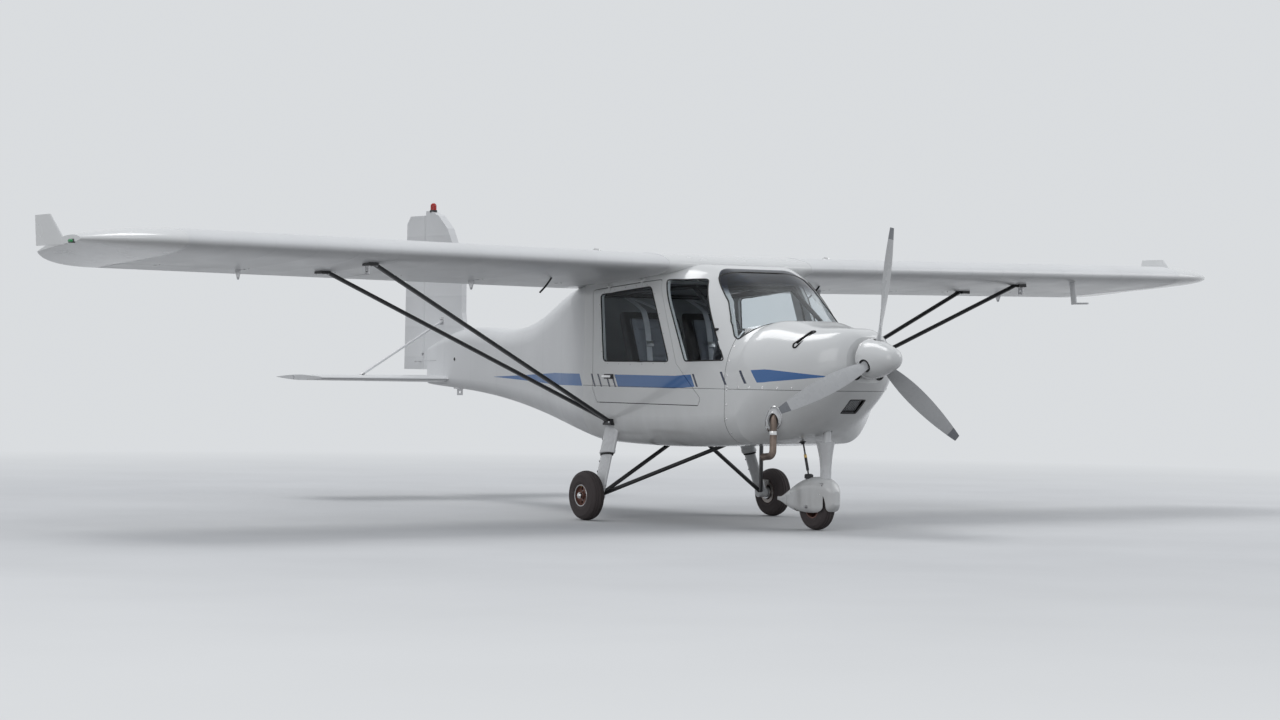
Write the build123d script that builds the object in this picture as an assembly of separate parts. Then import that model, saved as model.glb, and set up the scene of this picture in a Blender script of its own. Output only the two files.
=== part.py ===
from build123d import *
from math import cos, radians, sin, sqrt, tan
import os

# A two-seat, high-wing, strut-braced microlight aircraft, standing on its three wheels.
# Millimetres. +X is to port, -Y is towards the nose, +Z is up, and the ground is z = 0.
# A station is a distance aft from the tip of the spinner.

os.makedirs("parts", exist_ok=True)

# Overall sizes
LENGTH = 6200
SPAN = 9450
DRAWING_ORIGIN = 3100  # the station that the pieces are drawn from
CLEARANCE = 6  # between pieces that move and pieces that don't
RUNNING_FIT = 0.3  # round a pin or an axle
SEAT_GAP = 0.4  # between fixed pieces that meet on a curved face

# Nose and engine
THRUST_HEIGHT = 1130
SPINNER_LENGTH = 280
SPINNER_RADIUS = 130
SPINNER_WALL = 4
PROPELLER_STATION = 205
PROPELLER_RADIUS = 850
BLADE_COUNT = 3
BLADE_LEAN = 7  # the upright blade's lean to port, in degrees
PROP_SHAFT_RADIUS = 22
HUB_RADIUS = 62
HUB_DEPTH = 92
COWL_FRONT = 305
COWL_WALL = 6
COWL_SPLIT_HEIGHT = 920
FIREWALL_STATION = 1080
FIREWALL_THICKNESS = 12
ENGINE_FRONT = 475
ENGINE_REAR = 965
ENGINE_WIDTH = 400
ENGINE_BOTTOM = 890
ENGINE_TOP = 1235
GEARBOX_RADIUS = 85

# Cabin
CABIN_WALL = 25
CABIN_REAR = 2700
GLASS_THICKNESS = 4
FLOOR_HEIGHT = 600
FLOOR_THICKNESS = 10
DOOR_GAP = 5
COAMING_HEIGHT = 1300
COAMING_THICKNESS = 14

# Rear fuselage and tail
REAR_WALL = 14
BOOM_END = LENGTH - 440
RUDDER_HINGE = LENGTH - 330
ELEVATOR_HINGE = LENGTH - 400
TAILPLANE_HEIGHT = 930
TAILPLANE_SPAN = 2440

# Wing
WING_LEADING_EDGE = 1670
WING_CHORD = 1330
WING_EDGE_HEIGHT = 1745
WING_INCIDENCE = 6.2
WING_THICKNESS_RATIO = 0.125
WING_CAMBER_RATIO = 0.03
CAMBER_PLACE = 0.4
WING_ROOT = 602
DIHEDRAL = 0.7
HINGE_FRACTION = 0.75
TIP_LENGTH = 575
FLAP_SPAN = 1770
STRUT_JOIN = 2750  # how far out the struts meet the wing
STRUT_FRONT_STATION = 1930
STRUT_REAR_STATION = 2560
STRUT_CHORD = 54
STRUT_THICKNESS = 26
STRUT_FOOT = (592, 2370, 672)  # lateral, station, height

# Undercarriage
MAIN_WHEEL_STATION = 2340
MAIN_TRACK = 1600
MAIN_TYRE_RADIUS = 170
MAIN_TYRE_WIDTH = 108
NOSE_WHEEL_STATION = 812
NOSE_TYRE_RADIUS = 155
NOSE_TYRE_WIDTH = 100
RIM_RADIUS = 76
AXLE_RADIUS = 15
NOSE_LEG_STATION = 712
NOSE_LEG_RADIUS = 25

# Body sections: station, bottom, top, half width, lower corner radius, upper corner radius
SCREEN_BASE = (985, 562, 1360, 548, 200, 365)  # where the windscreen's foot meets the cowling
CABIN_END = (CABIN_REAR, 542, 1660, 600, 200, 120)
COWL_SECTIONS = (
    (COWL_FRONT, 972, 1268, 176, 135, 150),
    (345, 922, 1303, 234, 165, 190),
    (500, 775, 1326, 340, 290, 240),
    (760, 622, 1350, 464, 370, 320),
    SCREEN_BASE,
)
CABIN_SECTIONS = (
    SCREEN_BASE,
    (1130, 550, 1478, 578, 200, 480),
    (1350, 536, 1640, 596, 200, 450),
    (1646, 524, 1752, 602, 200, 300),
    (2000, 520, 1705, 602, 200, 90),
    (2350, 524, 1690, 602, 200, 90),
    CABIN_END,
)
REAR_SECTIONS = (
    CABIN_END,
    (3060, 590, 1618, 520, 200, 190),
    (3420, 640, 1560, 410, 180, 230),
    (3900, 712, 1405, 290, 150, 190),
    (4500, 795, 1318, 190, 110, 130),
    (BOOM_END - 460, 862, 1296, 118, 70, 80),
    (BOOM_END, 888, 1180, 46, 30, 36),
)
SPAT_SECTIONS = (
    (606, 172, 262, 24, 20, 22),
    (650, 126, 322, 60, 40, 56),
    (760, 108, 352, 84, 45, 76),
    (900, 110, 336, 82, 45, 76),
    (1070, 136, 262, 48, 30, 44),
    (1230, 178, 204, 8, 6, 7),
)


def y_of(station):
    """The Y of a station while the pieces are drawn."""
    return station - DRAWING_ORIGIN


def at(lateral, station, height):
    """A point by its distance to port, its station and its height."""
    return Vector(lateral, y_of(station), height)


# Shared forms
def body_section(row, inset):
    """One cross-section of a body: a rectangle with two lower and two upper round corners."""
    station, bottom, top, half_width, low_radius, high_radius = row
    outline = Pos(0, (bottom + top) / 2) * Rectangle(2 * (half_width - inset), top - bottom - 2 * inset)
    corners = outline.vertices().sort_by(Axis.Y)
    outline = fillet(corners[:2], low_radius - inset)
    corners = outline.vertices().sort_by(Axis.Y)
    outline = fillet(corners[-2:], high_radius - inset)
    return Plane(origin=at(0, station, 0), x_dir=(1, 0, 0), z_dir=(0, -1, 0)) * outline


def body(rows, inset=0):
    """A smooth solid through a table of body sections."""
    return loft([body_section(row, inset) for row in rows])


def box_between(low, high):
    """A box by two opposite corners: lateral, station, height."""
    size = [high[i] - low[i] for i in range(3)]
    middle = [(high[i] + low[i]) / 2 for i in range(3)]
    return Pos(*at(*middle)) * Box(*size)


def side_prism(points, low, high, radius=0):
    """A side-view outline of (station, height) points, cut through from one lateral to another."""
    outline = make_face(Polyline([(y_of(station), height) for station, height in points], close=True))
    if radius:
        outline = fillet(outline.vertices(), radius)
    return extrude(Plane(origin=(low, 0, 0), x_dir=(0, 1, 0), z_dir=(1, 0, 0)) * outline, amount=high - low)


def rod(start, end, radius):
    """A round rod between two points."""
    direction = end - start
    return Solid.make_cylinder(radius, direction.length, Plane(origin=start, z_dir=direction))


def streamlined_rod(start, end, chord, thickness):
    """A rod of elliptical section, its long axis lying fore and aft."""
    direction = end - start
    across = direction.cross(Vector(0, 1, 0))
    fore_and_aft = across.cross(direction).normalized()
    plane = Plane(origin=start, x_dir=fore_and_aft, z_dir=direction)
    return extrude(plane * Ellipse(chord / 2, thickness / 2), amount=direction.length)


def mirrored(solid):
    return mirror(solid, about=Plane.YZ)


def largest(shape):
    return max(shape.solids(), key=lambda solid: solid.volume)


CHORD_SHARES = (0.006, 0.025, 0.08, 0.2, 0.4, 0.7, 1)


def section_point(fraction, side, thickness, camber):
    """A point of an aerofoil of unit chord, on its upper (+1) or lower (-1) side."""
    half = 5 * thickness * (
        0.2969 * sqrt(fraction) - 0.126 * fraction - 0.3516 * fraction**2
        + 0.2843 * fraction**3 - 0.1015 * fraction**4
    )
    return fraction, mean_line(fraction, camber) + side * half


def mean_line(fraction, camber):
    if fraction < CAMBER_PLACE:
        return camber / CAMBER_PLACE**2 * (2 * CAMBER_PLACE * fraction - fraction**2)
    rest = 1 - 2 * CAMBER_PLACE + 2 * CAMBER_PLACE * fraction - fraction**2
    return camber / (1 - CAMBER_PLACE) ** 2 * rest


def aerofoil(chord, thickness, camber=0.0):
    """An aerofoil's face, its leading edge at the origin and its chord along X."""
    upper = [Vector(*section_point(f, 1, thickness, camber)) * chord for f in CHORD_SHARES]
    lower = [Vector(*section_point(f, -1, thickness, camber)) * chord for f in CHORD_SHARES]
    outline = Spline(upper[::-1] + [Vector(0, 0)] + lower)
    return make_face([outline, Line(outline @ 1, outline @ 0)])


# Wing
def wing_plane(lateral, leading_edge=WING_LEADING_EDGE, height=WING_EDGE_HEIGHT, incidence=WING_INCIDENCE):
    """A fore-and-aft plane at a lateral place, its X along the chord and its Y up."""
    rise = (lateral - WING_ROOT) * tan(radians(DIHEDRAL)) if lateral > WING_ROOT else 0
    chord_direction = (0, cos(radians(incidence)), -sin(radians(incidence)))
    return Plane(origin=at(lateral, leading_edge, height + rise), x_dir=chord_direction, z_dir=(1, 0, 0))


def wing_span(face, start, end, dihedral=True):
    """A face of the wing's section, drawn out along the span from one lateral place to another."""
    slope = tan(radians(DIHEDRAL)) if dihedral else 0
    direction = Vector(1, 0, slope)
    return extrude(wing_plane(start) * face, amount=(end - start) * direction.length, dir=direction)


WING_SECTION = aerofoil(WING_CHORD, WING_THICKNESS_RATIO, WING_CAMBER_RATIO)
HINGE_ALONG = HINGE_FRACTION * WING_CHORD
HINGE_UP = mean_line(HINGE_FRACTION, WING_CAMBER_RATIO) * WING_CHORD
NOSE_RADIUS = section_point(HINGE_FRACTION, 1, WING_THICKNESS_RATIO, 0)[1] * WING_CHORD
TIP_START = SPAN / 2 - TIP_LENGTH
FLAP_START = WING_ROOT + 10
FLAP_END = FLAP_START + FLAP_SPAN
AILERON_START = FLAP_END + 8
AILERON_END = TIP_START - 8
LUG_THICKNESS = 8
LUG_RADIUS = 18
LUG_PIN_RADIUS = 5
LUG_PIN_REACH = 24
FLAP_LUGS = (0.14, 0.5, 0.86)  # shares of the surface's own span


def lug_places(start, end):
    return [start + share * (end - start) for share in FLAP_LUGS]


def along_chord(low, high, reach=300):
    """The part of the section's plane between two distances along the chord."""
    return Pos((low + high) / 2, 0) * Rectangle(high - low, reach)


def hinge_circle(radius):
    return Pos(HINGE_ALONG, HINGE_UP) * Circle(radius)


def fixed_section():
    """The wing's section ahead of the hinge, with the hollow that the flap's round nose turns in."""
    return (WING_SECTION & along_chord(-50, HINGE_ALONG)) - hinge_circle(NOSE_RADIUS + CLEARANCE)


def moving_section():
    """The section of a flap or an aileron: the wing's own tail behind a round nose."""
    return (WING_SECTION & along_chord(HINGE_ALONG, WING_CHORD + 50)) + hinge_circle(NOSE_RADIUS)


def hinge_lug(lateral):
    """A hinge plate that stands out of the wing, and the pin through it."""
    plate = hinge_circle(LUG_RADIUS)
    plate += Pos(HINGE_ALONG - 45, HINGE_UP) * Rectangle(90, LUG_RADIUS)
    lug = wing_span(plate, lateral - LUG_THICKNESS / 2, lateral + LUG_THICKNESS / 2)
    pin = wing_span(hinge_circle(LUG_PIN_RADIUS), lateral - LUG_PIN_REACH, lateral + LUG_PIN_REACH)
    return lug + pin


def lug_slot(lateral):
    """The slot and the pin's bore that a hinge lug needs in a flap's nose."""
    half = LUG_THICKNESS / 2 + CLEARANCE
    room = along_chord(HINGE_ALONG - 80, HINGE_ALONG + LUG_RADIUS + CLEARANCE)
    slot = wing_span(room, lateral - half, lateral + half)
    reach = LUG_PIN_REACH + RUNNING_FIT
    bore = wing_span(hinge_circle(LUG_PIN_RADIUS + RUNNING_FIT), lateral - reach, lateral + reach)
    return slot + bore


def make_wing():
    wing = wing_span(fixed_section(), WING_ROOT, TIP_START)
    for start, end in ((FLAP_START, FLAP_END), (AILERON_START, AILERON_END)):
        for lateral in lug_places(start, end):
            wing += hinge_lug(lateral)
    return wing


def make_moving_surface(start, end):
    surface = wing_span(moving_section(), start, end)
    for lateral in lug_places(start, end):
        surface -= lug_slot(lateral)
    return surface


# Wing tip sections: share of the tip's length, leading edge aft, chord, trailing drop, thickness ratio
TIP_SECTIONS = (
    (0.0, 0, WING_CHORD, 0, WING_THICKNESS_RATIO),
    (0.55, 70, 1170, 6, 0.105),
    (0.97, 330, 640, 30, 0.075),
)
WINGLET_HEIGHT = 190
WINGLET_ROOT = (2210, 470)  # leading edge's station, chord
WINGLET_CROWN = (2420, 235)


def tip_height(aft):
    """How high a tip's leading edge is, so that it lies in the wing's own chord plane."""
    return WING_EDGE_HEIGHT - aft * tan(radians(WING_INCIDENCE))


def make_wing_tip():
    """The raked tip, turned up at its outer rear corner."""
    sections = []
    for share, aft, chord, rise, ratio in TIP_SECTIONS:
        plane = wing_plane(TIP_START + share * TIP_LENGTH, WING_LEADING_EDGE + aft, tip_height(aft) + rise)
        sections.append(plane * aerofoil(chord, ratio, WING_CAMBER_RATIO))
    tip = loft(sections)
    outer = TIP_START + TIP_SECTIONS[-1][0] * TIP_LENGTH
    base = wing_plane(outer, WINGLET_ROOT[0], tip_height(WINGLET_ROOT[0] - WING_LEADING_EDGE) + 20).origin
    winglet_sections = []
    for (station, chord), lateral, height in (
        (WINGLET_ROOT, outer - 12, base.Z),
        (WINGLET_CROWN, SPAN / 2 - 9, base.Z + WINGLET_HEIGHT),
    ):
        plane = Plane(origin=at(lateral, station, height), x_dir=(0, 1, 0), z_dir=(0, 0, 1))
        winglet_sections.append(plane * aerofoil(chord, 0.07))
    return tip + loft(winglet_sections)


def make_centre_fairing(cabin, rear):
    """The roof fairing that carries the wing's section across the cabin."""
    fairing = wing_span(WING_SECTION, -WING_ROOT, WING_ROOT, dihedral=False)
    return largest(fairing - cabin - rear)


def wing_underside(lateral, station):
    """The height of the wing's lower surface at a place."""
    fraction = (station - WING_LEADING_EDGE) / (WING_CHORD * cos(radians(WING_INCIDENCE)))
    drop = (station - WING_LEADING_EDGE) * tan(radians(WING_INCIDENCE))
    below = section_point(fraction, -1, WING_THICKNESS_RATIO, WING_CAMBER_RATIO)[1] * WING_CHORD
    return WING_EDGE_HEIGHT + (lateral - WING_ROOT) * tan(radians(DIHEDRAL)) - drop + below


STRUT_PAD = (70, 90, 34)
EYE_THICKNESS = 10
EYE_RADIUS = 11  # the hole that a tie-down rope's shackle goes through
EYE_RIM = 13
EYE_DROP = 30
EYE_OUT = 22  # how far outboard of the strut's end the eye hangs


def tie_down_eye(lateral, station, height, along_x):
    """A plate with a hole, hanging below a height: its hole's axis lies across or along the aircraft."""
    width, drop = 2 * (EYE_RADIUS + EYE_RIM), EYE_DROP + EYE_RADIUS + EYE_RIM
    plate = Pos(0, 0, 8 - drop / 2) * Box(EYE_THICKNESS, width, drop + 16)
    hole = Pos(0, 0, -EYE_DROP) * Rotation(0, 90, 0) * Cylinder(EYE_RADIUS, EYE_THICKNESS + 2)
    turn = Rotation(0, 0, 0 if along_x else 90)
    return Pos(*at(lateral, station, height)) * turn * (plate - hole)


def wing_strut(station, height):
    """One lift strut with the pad that it meets the wing on."""
    top = at(STRUT_JOIN, station, height + 10)
    strut = streamlined_rod(at(*STRUT_FOOT), top, STRUT_CHORD, STRUT_THICKNESS)
    return strut + Pos(*at(STRUT_JOIN, station, height)) * Box(*STRUT_PAD)


def make_wing_struts(cabin, wing):
    """The front lift strut with its foot, and the rear one beside it."""
    height = wing_underside(STRUT_JOIN, STRUT_FRONT_STATION)
    front = wing_strut(STRUT_FRONT_STATION, height) + Pos(*at(*STRUT_FOOT)) * Box(60, 96, 44)
    front = largest(front - cabin - wing)
    rear = wing_strut(STRUT_REAR_STATION, wing_underside(STRUT_JOIN, STRUT_REAR_STATION))
    return front, largest(rear - cabin - wing - front)


# Cabin, doors and glass: outlines by (station, height)
WINDSCREEN_OUTLINE = (
    (SCREEN_BASE[0], 1350), (1062, 1245), (1100, 1265), (1275, 1495), (1480, 1690), (1600, 1800),
    (SCREEN_BASE[0], 1800),
)
QUARTER_WINDOW = ((1108, 1108), (1478, 1648), (1748, 1642), (1490, 1098))
DOOR_TOP_FRONT = (1795, 1642)
DOOR_TOP_REAR = (2580, 1578)
DOOR_BOTTOM = 808
DOOR_OUTLINE = (
    DOOR_TOP_FRONT, DOOR_TOP_REAR, (2575, 900), (2520, DOOR_BOTTOM), (1340, DOOR_BOTTOM), (1318, 850),
    (1588, 1080),
)
DOOR_WINDOW = ((1885, 1598), (2488, 1548), (2446, 1090), (1672, 1094))
DOOR_REACH = (250, 700)  # lateral limits of the cutters through one side
WINDOW_CORNER = 30
QUARTER_CORNER = 22
HINGE_RADIUS = 7
HINGE_PIN_RADIUS = 3
HINGE_KNUCKLE = 22
HINGE_PLACES = (0.25, 0.75)  # shares of the door's top edge
HINGE_RISE = 11
HINGE_OUT = 602 + HINGE_RADIUS + 0.5
HINGE_LEAF_DEPTH = 26
HINGE_LEAF_DROP = 34


def grown(points, amount):
    """A side-view outline made larger all round by a gap."""
    outline = make_face(Polyline([(y_of(station), height) for station, height in points], close=True))
    bigger = offset(outline, amount=amount, kind=Kind.INTERSECTION)
    return [(v.X + DRAWING_ORIGIN, v.Y) for v in ordered_corners(bigger)]


def ordered_corners(face):
    """The corners of a face, in order round its outer edge."""
    return [edge @ 0 for edge in face.faces()[0].outer_wire().order_edges()]


def windscreen_prism():
    return side_prism(WINDSCREEN_OUTLINE, -700, 700)


def between_stations(shape, low, high):
    return shape & box_between((-900, low, 0), (900, high, 2500))


def make_shell():
    """The cabin's wall all round behind the firewall, open where the windscreen goes."""
    wall = body(CABIN_SECTIONS) - body(CABIN_SECTIONS, CABIN_WALL)
    return between_stations(wall - windscreen_prism(), FIREWALL_STATION, CABIN_REAR)


def hinge_axis_point(share):
    """A point of the door's hinge line, at a share of the door's top edge."""
    station = DOOR_TOP_FRONT[0] + share * (DOOR_TOP_REAR[0] - DOOR_TOP_FRONT[0])
    height = DOOR_TOP_FRONT[1] + share * (DOOR_TOP_REAR[1] - DOOR_TOP_FRONT[1])
    return at(HINGE_OUT, station, height + HINGE_RISE)


def hinge_direction():
    return (hinge_axis_point(1) - hinge_axis_point(0)).normalized()


def knuckle(share, low, high, radius):
    """A length of hinge barrel, from one distance to another along the hinge line."""
    middle = hinge_axis_point(share)
    return rod(middle + hinge_direction() * low, middle + hinge_direction() * high, radius)


def hinge_block(share, low, high, inner, outer, bottom, top):
    """A block beside the hinge line: along it, out from it and up from it."""
    middle = hinge_axis_point(share) + hinge_direction() * ((low + high) / 2)
    plane = Plane(origin=middle, x_dir=(1, 0, 0), z_dir=hinge_direction().cross(Vector(1, 0, 0)) * -1)
    place = Pos((inner + outer) / 2, 0, (bottom + top) / 2)
    return plane * place * Box(outer - inner, high - low, top - bottom)


def roof_leaf(share, low, high):
    """The leaf that joins a knuckle to the roof rail above it."""
    return hinge_block(share, low, high, -HINGE_LEAF_DEPTH, -2, 0, 15)


def door_leaf(share, low, high):
    """The leaf that joins a knuckle to the door below it, outside the roof rail's skin."""
    strap = hinge_block(share, low, high, -HINGE_RADIUS + 0.1, 0, -HINGE_LEAF_DROP, 0)
    return strap + hinge_block(share, low, high, -HINGE_LEAF_DEPTH, -3, -HINGE_LEAF_DROP, -HINGE_RISE - 3)


def body_hinges():
    """The knuckles on the roof rail, with the pins, for one door."""
    parts = []
    for share in HINGE_PLACES:
        for side in (-1, 1):
            low, high = sorted((side * (HINGE_KNUCKLE / 2 + 0.5), side * (HINGE_KNUCKLE * 1.5)))
            parts.append(knuckle(share, low, high, HINGE_RADIUS) + roof_leaf(share, low, high))
        parts.append(knuckle(share, -HINGE_KNUCKLE * 1.5, HINGE_KNUCKLE * 1.5, HINGE_PIN_RADIUS))
    return parts


def make_door(shell):
    """The port door: a panel of the cabin's own wall with its window cut, and its hinge knuckles."""
    door = shell & side_prism(DOOR_OUTLINE, *DOOR_REACH, radius=20)
    door -= side_prism(DOOR_WINDOW, *DOOR_REACH, radius=WINDOW_CORNER)
    for share in HINGE_PLACES:
        half = HINGE_KNUCKLE / 2
        door += door_leaf(share, -half, half)
        door += knuckle(share, -half, half, HINGE_RADIUS)
        door -= knuckle(share, -half - 1, half + 1, HINGE_PIN_RADIUS + RUNNING_FIT)
    return largest(door)


def make_cabin_shell(shell):
    """The fixed part of the cabin, with both door openings and the quarter windows cut out."""
    cabin = shell
    door_hole = side_prism(grown(DOOR_OUTLINE, DOOR_GAP), *DOOR_REACH, radius=25)
    quarter_hole = side_prism(QUARTER_WINDOW, *DOOR_REACH, radius=QUARTER_CORNER)
    for cutter in (door_hole, quarter_hole):
        cabin = cabin - cutter - mirrored(cutter)
    for piece in body_hinges():
        cabin = cabin + piece + mirrored(piece)
    return largest(cabin)


def make_glass():
    """The windscreen, one quarter window and one door window, each a piece of the cabin's outer skin."""
    skin = body(CABIN_SECTIONS) - body(CABIN_SECTIONS, GLASS_THICKNESS)
    windscreen = largest(skin & windscreen_prism())
    quarter = largest(skin & side_prism(QUARTER_WINDOW, *DOOR_REACH, radius=QUARTER_CORNER))
    door_window = largest(skin & side_prism(DOOR_WINDOW, *DOOR_REACH, radius=WINDOW_CORNER))
    return windscreen, quarter, door_window


# Cowling and engine
NOSE_LEG_BEARING_RADIUS = 40
NOSE_LEG_BEARING_BOTTOM = 678
VENT_SLOT_ENDS = ((345, 616, 1232), (242, 575, 1302))  # lateral, station, height
VENT_SLOT_WIDTH = 24
VENT_SLOT_DEPTH = 80
SCOOP = (0, 452, 820)
SCOOP_SIZE = (120, 130, 130)  # width, depth along its own axis, height
SCOOP_TILT = 46
INLET = (95, 330, 1032)
INLET_RADIUS = 36
SHAFT_CLEARANCE = 30
EXHAUST_PATH = ((-158, 778, 914), (-380, 795, 750), (-380, 800, 490), (-380, 905, 480))
EXHAUST_RADIUS = 23
EXHAUST_WALL = 3
EXHAUST_BEND = 42


def cowl_envelope(inset=0):
    """The cowling from its front to the firewall: the nose, and the sides of the windscreen's foot."""
    foot = between_stations(body(CABIN_SECTIONS, inset), SCREEN_BASE[0], FIREWALL_STATION)
    return body(COWL_SECTIONS, inset) + foot


def vent_slot():
    """A cutter for the slot on the cowling's port shoulder."""
    low, high = [at(*end) for end in VENT_SLOT_ENDS]
    along = high - low
    plane = Plane(origin=(low + high) * 0.5, x_dir=along, z_dir=along.cross(Vector(0, 1, 0)))
    return plane * Box(along.length, VENT_SLOT_WIDTH, VENT_SLOT_DEPTH)


def make_cowl():
    """The hollow cowling, with its air inlets, vents, shaft hole, leg hole and exhaust hole."""
    inner = between_stations(cowl_envelope(COWL_WALL), COWL_FRONT + COWL_WALL, FIREWALL_STATION + 10)
    cowl = cowl_envelope() - inner - windscreen_prism()
    front, rear = at(0, COWL_FRONT - 20, THRUST_HEIGHT), at(0, COWL_FRONT + 60, THRUST_HEIGHT)
    cowl -= rod(front, rear, PROP_SHAFT_RADIUS + SHAFT_CLEARANCE)
    cowl -= rod(at(0, NOSE_LEG_STATION, 500), at(0, NOSE_LEG_STATION, 750), NOSE_LEG_RADIUS + CLEARANCE)
    inside, corner, below = [at(*point) for point in EXHAUST_PATH[:3]]
    cowl -= rod(below, corner + Vector(0, 0, EXHAUST_RADIUS), EXHAUST_RADIUS + CLEARANCE)
    cowl -= rod(corner, inside, EXHAUST_RADIUS + CLEARANCE)
    cowl -= Pos(*at(*SCOOP)) * Rotation(SCOOP_TILT, 0, 0) * Box(*SCOOP_SIZE)
    for side in (-1, 1):
        inlet = at(side * INLET[0], *INLET[1:])
        cowl -= rod(inlet - Vector(0, 60, 0), inlet + Vector(0, 60, 0), INLET_RADIUS)
    for slot in (vent_slot(), mirrored(vent_slot())):
        cowl -= slot
    return cowl


def split_cowl(cowl):
    top = box_between((-900, 0, COWL_SPLIT_HEIGHT), (900, FIREWALL_STATION + 20, 2000))
    return largest(cowl & top), largest(cowl - top)


def make_engine():
    """The engine as one plain block, its gearbox and the propeller shaft."""
    half = ENGINE_WIDTH / 2
    engine = box_between((-half, ENGINE_FRONT, ENGINE_BOTTOM), (half, ENGINE_REAR, ENGINE_TOP))
    engine = fillet(engine.edges().filter_by(Axis.Y), 60)
    gearbox_front, block_front = at(0, COWL_FRONT + 40, THRUST_HEIGHT), at(0, ENGINE_FRONT + 5, THRUST_HEIGHT)
    engine += rod(gearbox_front, block_front, GEARBOX_RADIUS)
    return engine + rod(at(0, PROPELLER_STATION - 60, THRUST_HEIGHT), block_front, PROP_SHAFT_RADIUS)


def make_engine_mount():
    """The firewall, the beam ahead of it and the bearing that the nose leg turns in."""
    firewall = cowl_envelope(COWL_WALL + SEAT_GAP) & box_between(
        (-900, FIREWALL_STATION - FIREWALL_THICKNESS, 0), (900, FIREWALL_STATION, COAMING_HEIGHT)
    )
    beam = box_between((-45, NOSE_LEG_STATION, ENGINE_BOTTOM - 90), (45, FIREWALL_STATION - 1, ENGINE_BOTTOM))
    low, high = at(0, NOSE_LEG_STATION, NOSE_LEG_BEARING_BOTTOM), at(0, NOSE_LEG_STATION, ENGINE_BOTTOM)
    bearing = rod(low, high, NOSE_LEG_BEARING_RADIUS)
    hole = rod(low - Vector(0, 0, 10), high - Vector(0, 0, 20), NOSE_LEG_RADIUS + RUNNING_FIT)
    return firewall + beam + bearing - hole


def make_exhaust(engine):
    """The exhaust pipe: out of the engine, down through the cowling's corner and then bent aft."""
    path = FilletPolyline(*[at(*point) for point in EXHAUST_PATH], radius=EXHAUST_BEND)
    pipe = sweep(Plane(origin=path @ 0, z_dir=path % 0) * Circle(EXHAUST_RADIUS), path=path)
    pipe -= sweep(Plane(origin=path @ 0, z_dir=path % 0) * Circle(EXHAUST_RADIUS - EXHAUST_WALL), path=path)
    return largest(pipe - engine)


# Propeller: share of the radius, chord, thickness, pitch angle
BLADE_SECTIONS = (
    (0.10, 56, 44, 62),
    (0.22, 92, 22, 48),
    (0.45, 118, 15, 32),
    (0.75, 98, 10, 21),
    (1.0, 44, 5, 15),
)
BLADE_ROOT_RADIUS = 30


def blade_section(row):
    share, chord, thickness, pitch = row
    top = ThreePointArc((-chord / 2, 0), (-chord * 0.12, thickness * 0.7), (chord / 2, 0))
    bottom = ThreePointArc((chord / 2, 0), (0, -thickness * 0.3), (-chord / 2, 0))
    plane = Plane(origin=(0, 0, share * PROPELLER_RADIUS), x_dir=(1, 0, 0), z_dir=(0, 0, 1))
    return plane * Rotation(0, 0, pitch) * make_face([top, bottom])


def make_propeller():
    """The hub with its blades, on the shaft."""
    blade = loft([blade_section(row) for row in BLADE_SECTIONS])
    blade += rod(Vector(0, 0, 20), Vector(0, 0, 0.14 * PROPELLER_RADIUS), BLADE_ROOT_RADIUS)
    hub = Rotation(90, 0, 0) * Cylinder(HUB_RADIUS, HUB_DEPTH)
    for index in range(BLADE_COUNT):
        hub += Rotation(0, BLADE_LEAN + index * 360 / BLADE_COUNT, 0) * blade
    hub -= Rotation(90, 0, 0) * Cylinder(PROP_SHAFT_RADIUS + RUNNING_FIT, 200)
    return Pos(*at(0, PROPELLER_STATION, THRUST_HEIGHT)) * hub


def spinner_profile(length, radius):
    """Half of the spinner's long section, from its tip to its open rear."""
    nose = Spline([(0, 0), (radius * 0.62, length * 0.27), (radius, length)], tangents=[(1, 0), (0, 1)])
    return make_face([nose, Line((radius, length), (0, length)), Line((0, length), (0, 0))])


def make_spinner():
    """The hollow spinner with its back plate, open where the blades pass through."""
    outer = revolve(spinner_profile(SPINNER_LENGTH, SPINNER_RADIUS), Axis.Y)
    inner_length = SPINNER_LENGTH - SPINNER_WALL
    inner = Pos(0, SPINNER_WALL) * revolve(
        spinner_profile(inner_length - SPINNER_WALL, SPINNER_RADIUS - SPINNER_WALL), Axis.Y
    )
    spinner = outer - inner
    for index in range(BLADE_COUNT):
        turn = Rotation(0, BLADE_LEAN + index * 360 / BLADE_COUNT, 0)
        hole = rod(Vector(0, 0, 40), Vector(0, 0, 200), BLADE_ROOT_RADIUS + 14)
        spinner -= Pos(0, PROPELLER_STATION, 0) * turn * hole
    spinner -= Pos(0, SPINNER_LENGTH, 0) * Rotation(90, 0, 0) * Cylinder(PROP_SHAFT_RADIUS + RUNNING_FIT, 100)
    hub_seat = Pos(0, (PROPELLER_STATION + HUB_DEPTH / 2 + inner_length) / 2, 0) * Rotation(90, 0, 0)
    ring = Cylinder(HUB_RADIUS - 8, inner_length - PROPELLER_STATION - HUB_DEPTH / 2)
    ring -= Cylinder(PROP_SHAFT_RADIUS + 8, 200)
    spinner += hub_seat * ring
    return Pos(*at(0, 0, THRUST_HEIGHT)) * spinner


# Wheels and legs
def wheel_turn(lateral, station, height):
    """Places a wheel that was made round the Z axis on its axle, its outer side to port."""
    return Pos(*at(lateral, station, height)) * Rotation(0, 90, 0)


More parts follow.
